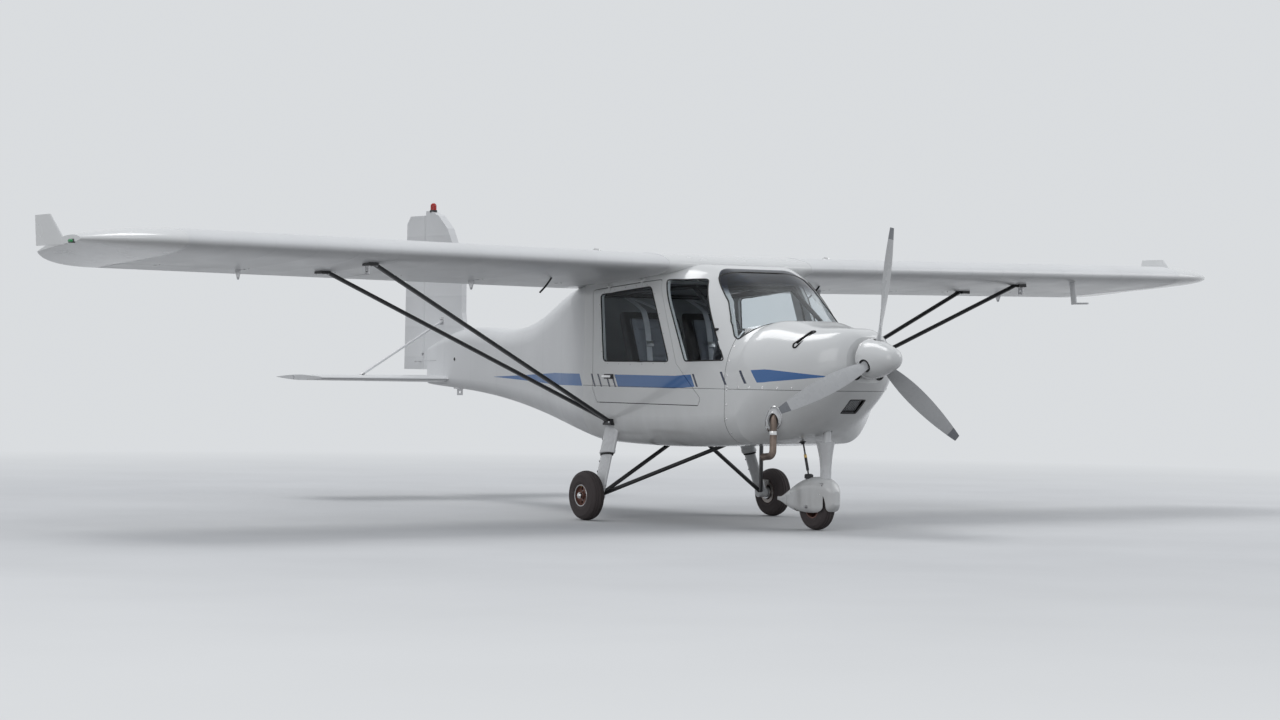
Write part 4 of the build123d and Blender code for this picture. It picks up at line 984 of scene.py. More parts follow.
# Outlines of (radius, along) points
RIM_LIP = (
    (0.0700, 0.000), (0.0745, 0.002), (0.0752, 0.005), (0.0735, 0.0065), (0.0690, 0.005), (0.0682, 0.001),
    (0.0700, 0.000),
)
BRAKE_DISC = ((0.052, 0.0), (0.0745, 0.0), (0.0745, 0.0035), (0.052, 0.0035), (0.052, 0.0))
AXLE_CAP = ((0, 0.012), (0.010, 0.011), (0.017, 0.007), (0.020, 0.001), (0.020, -0.002))
BOLT_CIRCLE = 0.0318


class AIRCRAFT_OT_hubs(Operator):
    """Adds wheel bolts, rim lips, brake discs, calipers and axle caps"""

    bl_idname = "aircraft.hubs"
    bl_label = "Fit the hubs"

    def execute(self, context):
        for kind, tail, body, _, width, centre, side in WHEELS:
            out = width * RIM_SHARE
            centre, outward = Vector(centre), Vector((side, 0, 0))
            circle = [Vector((0, BOLT_CIRCLE * y, BOLT_CIRCLE * z)) for y, z in round_steps(6, 0.5)]
            bolts = [(centre + outward * (out - 0.0185) + offset, outward) for offset in circle]
            add_bolts(bolts, 0.0044, 0.007, 0.0008, f"{kind}_hub_bolts{tail}", body)
            rim = turned(RIM_LIP, centre + outward * (out - 0.002), outward, steps=64)
            settle(rim, f"{kind}_rim_lip{tail}", "bare_alloy", body)
            if kind == "main":
                self.brake(tail, body, centre, outward, out)
        return {"FINISHED"}

    def brake(self, tail, body, centre, outward, out):
        """A main wheel's brake disc, its caliper and the cap on its axle."""
        disc = turned(BRAKE_DISC, centre - outward * (out + 0.0045), outward, steps=64)
        settle(disc, f"brake_disc{tail}", "brake_steel", body)
        caliper = block(centre - outward * 0.062 + Vector((0, 0, 0.072)), (0.020, 0.060, 0.034), 0.005)
        mount = block(centre - outward * 0.074 + Vector((0, 0, 0.052)), (0.010, 0.040, 0.050), 0.003)
        settle([caliper, mount], f"brake_caliper{tail}", "cast_alloy")
        cap = turned(AXLE_CAP, centre + outward * (out + 0.014), outward, steps=32)
        settle(cap, f"axle_cap{tail}", "bright_steel")


def lying(direction, across=AFT):
    """A turn whose Z points along a direction and whose Y lies as near as it can to another."""
    z = Vector(direction).normalized()
    x = Vector(across).cross(z).normalized()
    return Matrix((x, z.cross(x), z)).transposed().to_euler()


def circle_on(skin, centre, toward, radius, count=20):
    """Places on a skin round a circle, found by looking along a direction."""
    toward = Vector(toward).normalized()
    turn = lying(toward, (1, 0, 0)).to_matrix()
    places = []
    for across, up in round_steps(count):
        start = centre + turn @ Vector((radius * across, radius * up, 0)) - toward * LOOK_FROM
        place, _ = look(skin, start, toward)
        if place:
            places.append(place)
    return places


def flat_outline(places):
    """A flat face with its corners at places, being edited."""
    clear()
    bpy.ops.mesh.primitive_circle_add(vertices=len(places), radius=0.1, fill_type="NGON")
    piece = bpy.context.object
    for vertex, place in zip(piece.data.vertices, places):
        vertex.co = place
    edit_whole()
    return piece


def outline_plate(points, low, high, round_by):
    """A side-view outline of (station, height) points, drawn out from one lateral place to another."""
    piece = flat_outline([at(low, station, height) for station, height in points])
    bpy.ops.mesh.extrude_region_move(TRANSFORM_OT_translate={"value": (high - low, 0, 0)})
    face_out()
    round_edges(piece, round_by, 3)
    return piece


# Legs: top and foot of the left main leg, and the height where its sleeve steps in
LEG_TOP = (0.535, 2.400, 0.705)
LEG_FOOT = (0.694, 2.344, 0.190)
LEG_STEP = 0.455


def leg_axis(side, height):
    top, foot = (at(side * place[0], *place[1:]) for place in (LEG_TOP, LEG_FOOT))
    return top.lerp(foot, (top.z - height) / (top.z - foot.z))


def oval_band(place, direction, chord, thickness, depth, wall=0.0025):
    """A band round a streamlined tube."""
    clear()
    bpy.ops.mesh.primitive_cylinder_add(
        vertices=56, radius=0.5, depth=depth, end_fill_type="NOTHING", location=place, rotation=lying(direction)
    )
    piece = bpy.context.object
    set_size(piece, (thickness, chord, 1))
    modify(piece, "SOLIDIFY", thickness=wall, offset=1)
    round_edges(piece, 0.0008)
    return piece


# Brake pipe: heights down the back of the leg, which of them have a clip, and its places at the caliper
PIPE_HEIGHTS = (0.60, 0.55, 0.49, 0.462, 0.445, 0.40, 0.33, 0.27)
PIPE_CLIPS = (1, 5, 6)
PIPE_END = ((0.716, -0.716, 0.250), (0.736, -0.738, 0.258), (0.738, -0.752, 0.246))

# Steering link: its lower and upper end, and the boot where it enters the cowling
LINK_LOW = at(-0.030, 0.868, 0.362)
LINK_HIGH = at(-0.034, 0.930, 0.590)
LINK_BOOT = (
    (0.0075, 0.016), (0.011, 0.014), (0.013, 0.006), (0.024, 0.001), (0.024, -0.003), (0.0075, -0.003),
    (0.0075, 0.016),
)
SPAT_SCREWS = ((0.70, 0.24), (0.92, 0.25), (1.02, 0.235), (1.10, 0.215), (0.66, 0.20))


class AIRCRAFT_OT_legs(Operator):
    """Adds the legs' bands and brake pipes, the nose wheel's steering link and the spat's screws"""

    bl_idname = "aircraft.legs"
    bl_label = "Trim the legs"

    def execute(self, context):
        for side, word in SIDES:
            down = leg_axis(side, 0.2) - leg_axis(side, 0.6)
            upper = oval_band(leg_axis(side, LEG_STEP + 0.012), down, 0.159, 0.057, 0.020)
            lower = oval_band(leg_axis(side, 0.236), down, 0.121, 0.043, 0.016)
            settle([upper, lower], f"leg_bands_{word}", "white_metal_paint")
            seal = oval_band(leg_axis(side, LEG_STEP - 0.006), down, 0.122, 0.044, 0.014, 0.006)
            settle(seal, f"leg_seal_{word}", "black_rubber")
            self.brake_pipe(side, word)
        self.link()
        screws = spots_on_side(skin_of("nose_spat"), (1, -1), SPAT_SCREWS)
        add_screws(screws, 0.0048, "spat_screws", "nose_strut")
        return {"FINISHED"}

    def brake_pipe(self, side, word):
        """A pipe down the back of the leg to the caliper, held by clips."""
        skin = skin_of(f"main_leg_{word}")
        starts = [leg_axis(side, height) + Vector((0, 0.3, 0)) for height in PIPE_HEIGHTS]
        line = [look(skin, start, (0, -1, 0))[0] + Vector((0, 0.0035, 0)) for start in starts]
        lean = (0, side * 0.3, 0)
        clips = [block(line[index], (0.016, 0.008, 0.012), 0.002, lean) for index in PIPE_CLIPS]
        settle(clips, f"brake_pipe_clips_{word}", "black_rubber")
        line += [Vector((side * x, y, z)) for x, y, z in PIPE_END]
        settle(pipe(line, 0.0030), f"brake_pipe_{word}", "black_plastic")

    def link(self):
        """The steering link beside the nose leg: a dark rod with a brass union, jointed at both ends."""
        low, high = LINK_LOW, LINK_HIGH
        along = (high - low).normalized()
        for piece, name, finish in (
            (pipe([low, low.lerp(high, 0.5), high], 0.0055), "rod", "black_tube_paint"),
            (drum(low.lerp(high, 0.30), 0.0095, 0.085, along), "sleeve", "black_tube_paint"),
            (drum(low.lerp(high, 0.53), 0.0105, 0.024, along, sides=6), "union", "brass"),
        ):
            settle(piece, f"steering_link_{name}", finish, None)
            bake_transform(piece)
        foot = block(low - Vector((0, 0.004, 0.012)), (0.040, 0.052, 0.030), 0.006)
        pin = drum(low, 0.006, 0.050, (1, 0, 0), 0.001)
        settle([foot, pin], "steering_link_foot", "black_plastic", "nose_strut")
        place, normal = upward_from(skin_of("lower_cowl"), -0.034, 0.930)
        settle(turned(LINK_BOOT, place, normal), "steering_link_boot", "black_rubber")


# Propeller: outlines of (radius, along) points
BACK_RING = (
    (0.1296, -0.005), (0.1312, -0.004), (0.1316, 0.0), (0.1312, 0.004), (0.1296, 0.005), (0.1280, 0.0),
    (0.1296, -0.005),
)
ROOT_COLLAR = (
    (0.0305, -0.004), (0.0400, -0.004), (0.0410, 0.0), (0.0390, 0.004), (0.0320, 0.005), (0.0305, 0.003),
    (0.0305, -0.004),
)
BLADE_LEAN = 7 / 120  # the first blade's turn from upright, as a share of the step to the next blade


class AIRCRAFT_OT_propeller(Operator):
    """Adds the spinner's back ring, its screws and the blades' root collars"""

    bl_idname = "aircraft.propeller"
    bl_label = "Trim the propeller"

    def execute(self, context):
        body = "propeller_and_spinner"
        ring = turned(BACK_RING, at(0, 0.2745, PROPELLER_HEIGHT), AFT, 96)
        settle(ring, "spinner_back_ring", "bright_steel", body)
        skin = skin_of("spinner")
        centre = at(0, 0.263, PROPELLER_HEIGHT)
        places = []
        for up, across in round_steps(12, 0.5):
            outward = Vector((across, 0, up))
            place, normal = look(skin, centre + outward * 0.3, -outward)
            if place and (place - centre).length > 0.11:
                places.append((place, normal))
        add_screws(places, 0.0045, "spinner_screws", body)
        collars = []
        for up, across in round_steps(3, BLADE_LEAN):
            outward = Vector((across, 0, up))
            collars.append(turned(ROOT_COLLAR, at(0, 0.205, PROPELLER_HEIGHT) + outward * 0.108, outward))
        settle(collars, "blade_root_collars", "black_rubber", body)
        return {"FINISHED"}


COWL_JOINT = 0.920  # height of the joint between the upper and the lower cowling
CHIN = (0.452, 0.820)  # station and height of the radiator's opening
CHIN_TILT = radians(46)
CHIN_SIZE = (0.120, 0.130)
SLOT_ENDS = ((0.345, 0.616), (0.242, 0.575))  # lateral place and station of the vent slot's ends
SLOT_LIP = 0.0155
SLOT_LEAST_HEIGHT = 1.15  # a look that lands lower has gone through the slot
INLET = (0.095, 1.032)  # lateral place and height of a round inlet
EXHAUST = (-0.380, 0.797)  # lateral place and station of the heat plate
HEAT_PLATE = (
    (0.034, 0.0055), (0.037, 0.0045), (0.040, 0.0008), (0.050, 0.0), (0.059, 0.0008), (0.0625, 0.0045),
    (0.0655, 0.001),
)
PLATE_NARROWING = 0.42  # its width in plan as a share of its length, where the cowling is steep
EXHAUST_CLAMP = (
    (0.0235, -0.012), (0.0265, -0.012), (0.0275, 0), (0.0265, 0.012), (0.0235, 0.012), (0.0235, -0.012),
)
EXHAUST_END = (
    (0.0195, -0.004), (0.0240, -0.005), (0.0246, 0), (0.0240, 0.003), (0.0195, 0.003), (0.0195, -0.004),
)


class AIRCRAFT_OT_cowling(Operator):
    """Adds the cowling's fasteners, inlet screens, radiator, exhaust plate and slot lips"""

    bl_idname = "aircraft.cowling"
    bl_label = "Trim the cowling"

    def execute(self, context):
        skin = skin_of("upper_cowl", "lower_cowl")
        self.fasteners(skin)
        self.inlets(skin)
        self.radiator(skin)
        self.exhaust_plate(skin)
        self.slot_lips(skin)
        return {"FINISHED"}

    def slot_lips(self, skin):
        """The black lip round the slanted slot on each side, and the lining inside it."""
        first, last = (Vector(end) for end in SLOT_ENDS)
        along = (last - first).normalized()
        for side, word in SIDES:
            line = []
            for forward, across in round_steps(28):
                end = last if forward > 0 else first
                spot = end + along * SLOT_LIP * forward + Vector((0, SLOT_LIP * across))
                place, normal = downward_from(skin, side * spot.x, spot.y, 2.0)
                if place is not None and place.z > SLOT_LEAST_HEIGHT:
                    line.append(place + normal * 0.001)
            settle(pipe(line, 0.0062, closed=True), f"vent_slot_lip_{word}", "black_rubber")
            middle = sum(line, Vector()) / len(line)
            quarter = len(line) // 4
            length = line[0] - line[2 * quarter]
            normal = length.cross(line[quarter] - line[3 * quarter]).normalized()
            size = (0.026, length.length - 0.004, 0.006)
            place = middle - normal * copysign(0.007, normal.z)
            lining = block(place, size, 0.002, lying(normal, length))
            settle(lining, f"vent_slot_lining_{word}", "black_plastic")

    def fasteners(self, skin):
        """Quarter-turn fasteners along the joint and round the firewall."""
        spots = [(0.44 + 0.088 * index, COWL_JOINT + 0.014) for index in range(8)]
        spots += [(1.064, 0.63 + 0.095 * index) for index in range(8)]
        add_screws(spots_on_side(skin, (1, -1), spots), 0.0075, "cowl_fasteners")

    def inlets(self, skin):
        """Rubber-lipped round inlets with wire screens behind them."""
        lateral, height = INLET
        for side, word in SIDES:
            rim = circle_on(skin, at(side * lateral, 0.330, height), AFT, 0.0375)
            settle(pipe(rim, 0.0042, closed=True), f"inlet_lip_{word}", "black_rubber")
            clear()
            place = at(side * lateral, 0.368, height)
            bpy.ops.mesh.primitive_grid_add(
                x_subdivisions=11, y_subdivisions=11, size=0.076, location=place, rotation=(pi / 2, 0, 0)
            )
            screen = bpy.context.object
            modify(screen, "WIREFRAME", thickness=0.0013)
            settle(screen, f"inlet_screen_{word}", "bare_alloy", angle=0)

    def radiator(self, skin):
        """The radiator's upright tubes, folded fins and tanks, behind the opening in the chin."""
        inward = Vector((0, cos(CHIN_TILT), sin(CHIN_TILT)))
        upward = Vector((0, -sin(CHIN_TILT), cos(CHIN_TILT)))
        opening = at(0, *CHIN)
        middle = opening + inward * 0.020
        across = Vector((1, 0, 0))
        for name, finish, size, round_by, step, count, angle in (
            ("tubes", "bare_alloy", (0.0035, 0.016, 0.118), 0.0012, across * 0.0145, 8, SMOOTH_ANGLE),
            ("fins", "engine_casting", (0.112, 0.012, 0.0010), 0, upward * 0.0075, 15, 0),
            ("tanks", "black_plastic", (0.126, 0.022, 0.014), 0.004, upward * 0.132, 2, SMOOTH_ANGLE),
        ):
            offsets = [step * (index - (count - 1) / 2) for index in range(count)]
            bars = [block(middle + offset, size, round_by, (CHIN_TILT, 0, 0)) for offset in offsets]
            settle(bars, f"radiator_{name}", finish, angle=angle)
        corners = round_corners(rectangle(*(length / 2 + 0.002 for length in CHIN_SIZE)), 0.006, 2)
        edge = [across * point.x + upward * point.y for point in even_steps(corners, 0.02)]
        line = [look(skin, opening + offset - inward * LOOK_FROM, inward)[0] for offset in edge]
        lip = pipe([place for place in line if place], 0.0036, closed=True)
        settle(lip, "radiator_lip", "black_rubber")

    def exhaust_plate(self, skin):
        """The bright oval heat plate on the cowling, round the exhaust pipe, with its screws."""
        lateral, station = EXHAUST
        inner = HEAT_PLATE[0][0]
        plate = turned(HEAT_PLATE, (0, 0, 0), steps=64)
        plate.rotation_euler = (0, 0, 0)
        for vertex in plate.data.vertices:
            radius = vertex.co.xy.length
            vertex.co.x *= (inner + (radius - inner) * PLATE_NARROWING) / radius
            place, outward = upward_from(skin, lateral + vertex.co.x, station + vertex.co.y, 0.5)
            vertex.co = place + outward * (0.0012 + vertex.co.z)
        modify(plate, "SOLIDIFY", thickness=0.0016, offset=0)
        settle(plate, "exhaust_plate", "bright_steel")
        places = []
        for across, along in round_steps(8, 0.5):
            place, outward = upward_from(skin, lateral + 0.041 * across, station + 0.050 * along, 0.5)
            places.append((place + outward * 0.002, outward))
        add_screws(places, 0.0040, "exhaust_plate_screws")
        settle(turned(EXHAUST_CLAMP, at(lateral, 0.800, 0.640)), "exhaust_clamp", "bright_steel")
        settle(turned(EXHAUST_END, at(lateral, 0.903, 0.480), AFT), "exhaust_end_ring", "hot_steel")


# Doors: station and height of the handle, the lock's outline, and (lateral place, Y) along the inner pull
HANDLE_SPOT = (2.380, 0.985)
DOOR_LOCK = ((0, 0.004), (0.006, 0.0038), (0.009, 0.0015), (0.009, -0.002))
DOOR_PULL = ((0.577, -0.90), (0.547, -0.895), (0.541, -0.83), (0.547, -0.765), (0.577, -0.76))
PULL_HEIGHT = 1.040


class AIRCRAFT_OT_doors(Operator):
    """Adds the doors' handles, locks, inner pulls and frame screws"""

    bl_idname = "aircraft.doors"
    bl_label = "Trim the doors"

    def execute(self, context):
        for side, word in SIDES:
            body = f"{word}_door"
            skin = skin_of(f"door_{word}")
            place, _ = on_side(skin, side, *HANDLE_SPOT)
            out = Vector((side, 0, 0))
            plate = block(place + out * 0.0015, (0.005, 0.112, 0.034), 0.0022)
            settle(plate, f"door_handle_plate_{word}", "black_plastic", body)
            stem = drum(place + out * 0.010 + Vector((0, 0.036, 0)), 0.008, 0.018, out)
            lever = block(place + out * 0.0205, (0.008, 0.096, 0.016), 0.0036)
            settle([lever, stem], f"door_handle_{word}", "bright_steel", body)
            lock = turned(DOOR_LOCK, place + Vector((0, 0.078, 0)), out)
            settle(lock, f"door_lock_{word}", "bright_steel", body)
            pull = pipe([Vector((side * x, y, PULL_HEIGHT)) for x, y in DOOR_PULL], 0.007)
            settle(pull, f"door_pull_{word}", "black_plastic", body)
            screws = spots_on_side(skin, (side,), self.frame_spots())
            add_screws(screws, 0.0042, f"door_frame_screws_{word}", body)
        return {"FINISHED"}

    def frame_spots(self):
        """Places along the rim between the door's window and its edge."""
        spots = []
        for first, last in zip(DOOR_WINDOW, DOOR_WINDOW[1:] + DOOR_WINDOW[:1]):
            spots += steps_between(first, last, 0.12, 2, 0.5)
        middle = Vector((2.12, 1.33))
        return [spot + (spot - middle).normalized() * 0.022 for spot in spots]


# Wing: where the struts meet it, the spans of its flaps and ailerons, and outlines of its fittings
STRUT_JOIN = 2.750
STRUT_STATIONS = {"front": 1.930, "rear": 2.560}
SURFACE_SPANS = ((0.612, 2.382), (2.390, 4.142))
ROOT = 0.606  # lateral place of the wing's root
FUEL_CAP = ((0, 0.011), (0.020, 0.010), (0.027, 0.008), (0.030, 0.003), (0.040, 0.0015), (0.040, -0.002))
VENT_LINE = ((-0.010, 0.012), (0.010, -0.012), (0.075, -0.062), (0.140, -0.098))
HORN_OUTLINE = ((-0.045, 0.006), (0.045, 0.006), (0.006, -0.062), (-0.012, -0.062))


def both_sides(skin, spots, high, low):
    """Places above and below (lateral, station) spots on a surface, without those that miss it."""
    pairs = [(downward_from(skin, *spot, high)[0], upward_from(skin, *spot, low)[0]) for spot in spots]
    return [pair for pair in pairs if None not in pair]


class AIRCRAFT_OT_wing(Operator):
    """Adds the struts' bolts and the wing's fuel caps, vents, lights, root strips, hinge bolts and horns"""

    bl_idname = "aircraft.wing"
    bl_label = "Trim the wing"

    def execute(self, context):
        for side, word in SIDES:
            skin = skin_of(f"wing_{word}")
            self.strut_bolts(side, word)
            self.tip_light(side, word)
            self.tank_fittings(side, word, skin)
            self.root_strip(side, word, skin)
            self.hinge_bolts(side, word, skin)
            for surface, lateral in (("flap", 1.50), ("aileron", 3.27)):
                self.horn(word, surface, side * lateral)
        return {"FINISHED"}

    def strut_bolts(self, side, word):
        """Bolts that hold the struts' pads and feet."""
        places = []
        for which, station in STRUT_STATIONS.items():
            skin = skin_of(f"wing_struts_{which}")
            for dx, dy in ((-0.026, -0.036), (-0.026, 0.036), (0.026, -0.036), (0.026, 0.036)):
                place, normal = upward_from(skin, side * (STRUT_JOIN + dx), station + dy, 1.2)
                if place and normal.z < -0.9:
                    places.append((place, normal))
        add_bolts(places, 0.0055, 0.008, 0.001, f"strut_pad_bolts_{word}")
        feet = [(at(side * 0.622, station, 0.672), (side, 0, 0)) for station in (2.336, 2.404)]
        add_bolts(feet, 0.0085, 0.014, 0.0015, f"strut_foot_bolts_{word}")

    def tip_light(self, side, word):
        """The light on the wing tip: red to port, green to starboard."""
        place, _ = look(skin_of(f"wing_tip_{word}"), at(side * 6, 2.13, 1.775), (-side, 0, 0))
        out = Vector((side * 0.004, 0, 0))
        settle(block(place - out, (0.016, 0.085, 0.026), 0.006), f"tip_light_base_{word}", "black_plastic")
        clear()
        bpy.ops.mesh.primitive_uv_sphere_add(segments=32, ring_count=16, radius=0.5, location=place + out)
        lens = bpy.context.object
        lens.scale = (0.026, 0.070, 0.022)
        settle(lens, f"tip_light_{word}", "red_lens" if side > 0 else "green_lens")

    def tank_fittings(self, side, word, skin):
        """The fuel cap with its tab, and the tank's vent tube."""
        place, normal = downward_from(skin, side * 0.98, 1.99)
        settle(turned(FUEL_CAP, place, normal, 48), f"fuel_cap_{word}", "bright_steel")
        tab = block(place + normal * 0.012, (0.040, 0.006, 0.006), 0.0015)
        settle(tab, f"fuel_cap_tab_{word}", "plated_steel")
        low, _ = upward_from(skin, side * 1.15, 2.28, 1.0)
        vent = pipe([low + Vector((0, y, z)) for y, z in VENT_LINE], 0.0065)
        settle(vent, f"tank_vent_{word}", "black_rubber")

    def root_strip(self, side, word, skin):
        """The white strip over the gap at the wing's root, above and below."""
        spots = [(side * ROOT, 1.672 + 0.895 * (index / 14) ** 1.5) for index in range(15)]
        lateral = side * (ROOT - 0.004)
        over, under = [], []
        for above, below in both_sides(skin, spots, 3.0, 1.2):
            over.append(Vector((lateral, above.y, above.z + 0.0005)))
            under.append(Vector((lateral, below.y, below.z - 0.0005)))
        settle(pipe(under[::-1] + over, 0.0034), f"wing_root_strip_{word}", "white_metal_paint")

    def hinge_bolts(self, side, word, skin):
        """Bolt ends under the wing, along the hinges of the flap and the aileron."""
        laterals = [start + share * (end - start) for start, end in SURFACE_SPANS for share in (0.14, 0.5, 0.86)]
        found = [upward_from(skin, side * lateral, 2.60, 1.2) for lateral in laterals]
        places = [spot for spot in found if spot[0]]
        add_bolts(places, 0.0048, 0.010, 0.001, f"hinge_bolts_{word}")

    def horn(self, word, surface, lateral):
        """The control horn under a moving surface."""
        place, _ = upward_from(skin_of(f"{surface}_{word}"), lateral, 2.745, 1.2)
        points = [(place.y - NOSE_Y + along, place.z + up) for along, up in HORN_OUTLINE]
        plate = outline_plate(points, lateral - 0.002, lateral + 0.002, 0.0008)
        pin_place = Vector((lateral, place.y - 0.003, place.z - 0.052))
        pin = drum(pin_place, 0.004, 0.016, (1, 0, 0), 0.0008, 12)
        settle([plate, pin], f"{surface}_horn_{word}", "plated_steel", f"{word}_{surface}")


# Tail: outlines of (radius, along) points
BEACON_BASE = ((0.0, 0.006), (0.026, 0.006), (0.030, 0.002), (0.030, -0.012), (0.0, -0.012))
CABLE_GUIDE = ((0.003, 0.004), (0.010, 0.003), (0.014, 0.0), (0.014, -0.003), (0.003, -0.003), (0.003, 0.004))


def horn_end(side):
    """Where a rudder cable meets its horn."""
    return at(side * 0.086, 5.872, 1.062)


class AIRCRAFT_OT_tail(Operator):
    """Adds the tail struts' fittings, the rudder's horns and cables, the trim tab's line and the lamp's base"""

    bl_idname = "aircraft.tail"
    bl_label = "Trim the tail"

    def execute(self, context):
        fittings, bolts = [], []
        for side, _ in SIDES:
            top, foot = at(side * 0.034, 5.561, 1.381), at(side * 0.742, 5.599, 0.946)
            along = (foot - top).normalized()
            fittings.append(block(top - along * 0.006, (0.006, 0.040, 0.060), 0.002))
            fittings.append(drum(foot - along * 0.020, 0.0115, 0.045, along))
            bolts += [(top + Vector((side * 0.006, 0, rise)), (side, 0, 0)) for rise in (0.016, -0.020)]
            bolts += [(foot - along * 0.018, (0, aft, 0)) for aft in (-1, 1)]
        settle(fittings, "tail_strut_fittings", "plated_steel")
        add_bolts(bolts, 0.0058, 0.026, 0.001, "tail_strut_bolts")
        settle(turned(BEACON_BASE, (0, 2.670, 2.258)), "beacon_base", "black_plastic")
        self.rudder_horns()
        self.cables()
        self.tab()
        return {"FINISHED"}

    def rudder_horns(self):
        """Arms on the rudder's sides that the cables pull."""
        arms = []
        for side in (1, -1):
            turn = (0, 0, -side * radians(28))
            arms.append(block(at(side * 0.050, 5.892, 1.062), (0.086, 0.026, 0.004), 0.0015, turn))
            arms.append(drum(horn_end(side), 0.007, 0.014, round_by=0.001, sides=16))
        settle(arms, "rudder_horns", "plated_steel", "rudder_body")

    def cables(self):
        """The rudder cables: out of the boom through their guides, and back to the horns."""
        skin = skin_of("rear_fuselage")
        for side, word in SIDES:
            leaves, horn = at(side * 0.100, 5.20, 1.085), horn_end(side)
            cable = pipe([leaves, leaves.lerp(horn, 0.5), horn], 0.0016, sides=2)
            settle(cable, f"rudder_cable_{word}", "plated_steel", None)
            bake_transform(cable)
            guide = turned(CABLE_GUIDE, *on_side(skin, side, 5.215, 1.085), 24)
            settle(guide, f"cable_guide_{word}", "black_plastic")

    def tab(self):
        """The hinge lines of the trim tab at the elevator's rear edge, on the right."""
        spots = [(-0.70 + 0.42 * index / 8, 6.000) for index in range(9)]
        lines = zip(*both_sides(skin_of("elevator"), spots, 1.2, 0.7))
        for line, where in zip(lines, ("upper", "lower")):
            settle(pipe(line, 0.0022, sides=2), f"tab_hinge_{where}", "plated_steel", "elevator_body")


# Seats: side outline of the moulded shell, and the cushions on it
SEAT_CENTRE = 0.262
SHELL_OUTLINE = (
    (1.722, 0.780), (1.735, 0.826), (2.090, 0.812), (2.160, 0.835), (2.378, 1.418), (2.402, 1.436),
    (2.426, 1.420), (2.425, 1.390), (2.215, 0.770), (2.190, 0.612), (1.760, 0.612),
)
CUSHIONS = {
    # place, size, turn about X, channels across it
    "base": (at(SEAT_CENTRE, 1.918, 0.848), (0.425, 0.350, 0.052), radians(-2.6), (-0.06, 0.06)),
    "back": (at(SEAT_CENTRE, 2.250, 1.150), (0.425, 0.540, 0.046), radians(69), (-0.15, -0.04, 0.07, 0.17)),
}
CUSHION_VOXEL = 0.0065
CUSHION_PRESSURE = 4
CUSHION_FRAMES = 20
MOST_SWELLING = 0.014


def cushion_form(size):
    """A soft slab with rounded edges, slightly smaller than the finished cushion."""
    clear()
    bpy.ops.mesh.primitive_cube_add(size=1)
    piece = bpy.context.object
    set_size(piece, (size[0] - 0.012, size[1] - 0.012, size[2] - 0.008))
    round_edges(piece, size[2] * 0.34, 3)
    modify(piece, "REMESH", mode="VOXEL", voxel_size=CUSHION_VOXEL)
    return piece


def inflate(piece):
    """Swells a closed form by cloth simulation, and keeps each point within a distance of its start."""
    scene = bpy.context.scene
    before = [vertex.co.copy() for vertex in piece.data.vertices]
    pick(piece)
    cloth = piece.modifiers.new("cloth", "CLOTH")
    cloth.settings.use_pressure = True
    cloth.settings.uniform_pressure_force = CUSHION_PRESSURE
    cloth.settings.effector_weights.gravity = 0
    cloth.settings.quality = 5
    cloth.point_cache.frame_start, cloth.point_cache.frame_end = 1, CUSHION_FRAMES
    for number in range(1, CUSHION_FRAMES + 1):
        scene.frame_set(number)
    bpy.ops.object.modifier_apply(modifier=cloth.name)
    scene.frame_set(1)
    for vertex, start in zip(piece.data.vertices, before):
        move = vertex.co - start
        if move.length > MOST_SWELLING:
            vertex.co = start + move * (MOST_SWELLING / move.length)


def sew_channels(piece, size, channels):
    """Draws the cover in along its sewn channels and round its welted edge."""
    for vertex in piece.data.vertices:
        place = vertex.co
        depth = 0.0
        for along in channels:
            depth = max(depth, 0.0075 * max(0.0, 1 - abs(place.y - along) / 0.013) ** 1.5)
        if place.z > 0 and abs(place.x) < size[0] * 0.43:
            place.z -= depth
        side = max(0.0, 1 - abs(place.z) / 0.009)
        if abs(place.x) > size[0] * 0.46:
            place.x -= 0.0022 * side * (1 if place.x > 0 else -1)


def welt(size, height):
    """The piping sewn round a cushion's upper edge."""
    corners = round_corners(rectangle(size[0] / 2 - 0.010, size[1] / 2 - 0.010), 0.045)
    return pipe([Vector((p.x, p.y, height)) for p in even_steps(corners, 0.04)], 0.0042, closed=True)


def mirror_copy(piece):
    """The same piece on the other side, with its own mesh turned the right way out."""
    other = duplicate(piece)
    for vertex in other.data.vertices:
        vertex.co.x = -vertex.co.x
    other.data.flip_normals()
    return other


def smooth_line(points, steps=6):
    """A smooth line through a few places."""
    made = []
    for index in range(len(points) - 1):
        before = points[max(index - 1, 0)]
        first, last = points[index], points[index + 1]
        after = points[min(index + 2, len(points) - 1)]
        for step in range(steps):
            t = step / steps
            bend = (2 * before - 5 * first + 4 * last - after) * t**2
            twist = (3 * first - before - 3 * last + after) * t**3
            made.append(0.5 * (2 * first + (last - before) * t + bend + twist))
    return made + [points[-1]]


def strap(points, width, across=(1, 0, 0), thickness=0.0022):
    """A band of webbing along a line, its width lying across."""
    line = smooth_line([Vector(p) for p in points])
    clear()
    bpy.ops.mesh.primitive_grid_add(x_subdivisions=2, y_subdivisions=len(line) - 1, size=1)
    piece = bpy.context.object
    for index, vertex in enumerate(piece.data.vertices):
        row, column = divmod(index, 3)
        vertex.co = line[row] + Vector(across).normalized() * width * (column - 1) / 2
    modify(piece, "SOLIDIFY", thickness=thickness, offset=0)
    round_edges(piece, 0.0006, 1)
    return piece


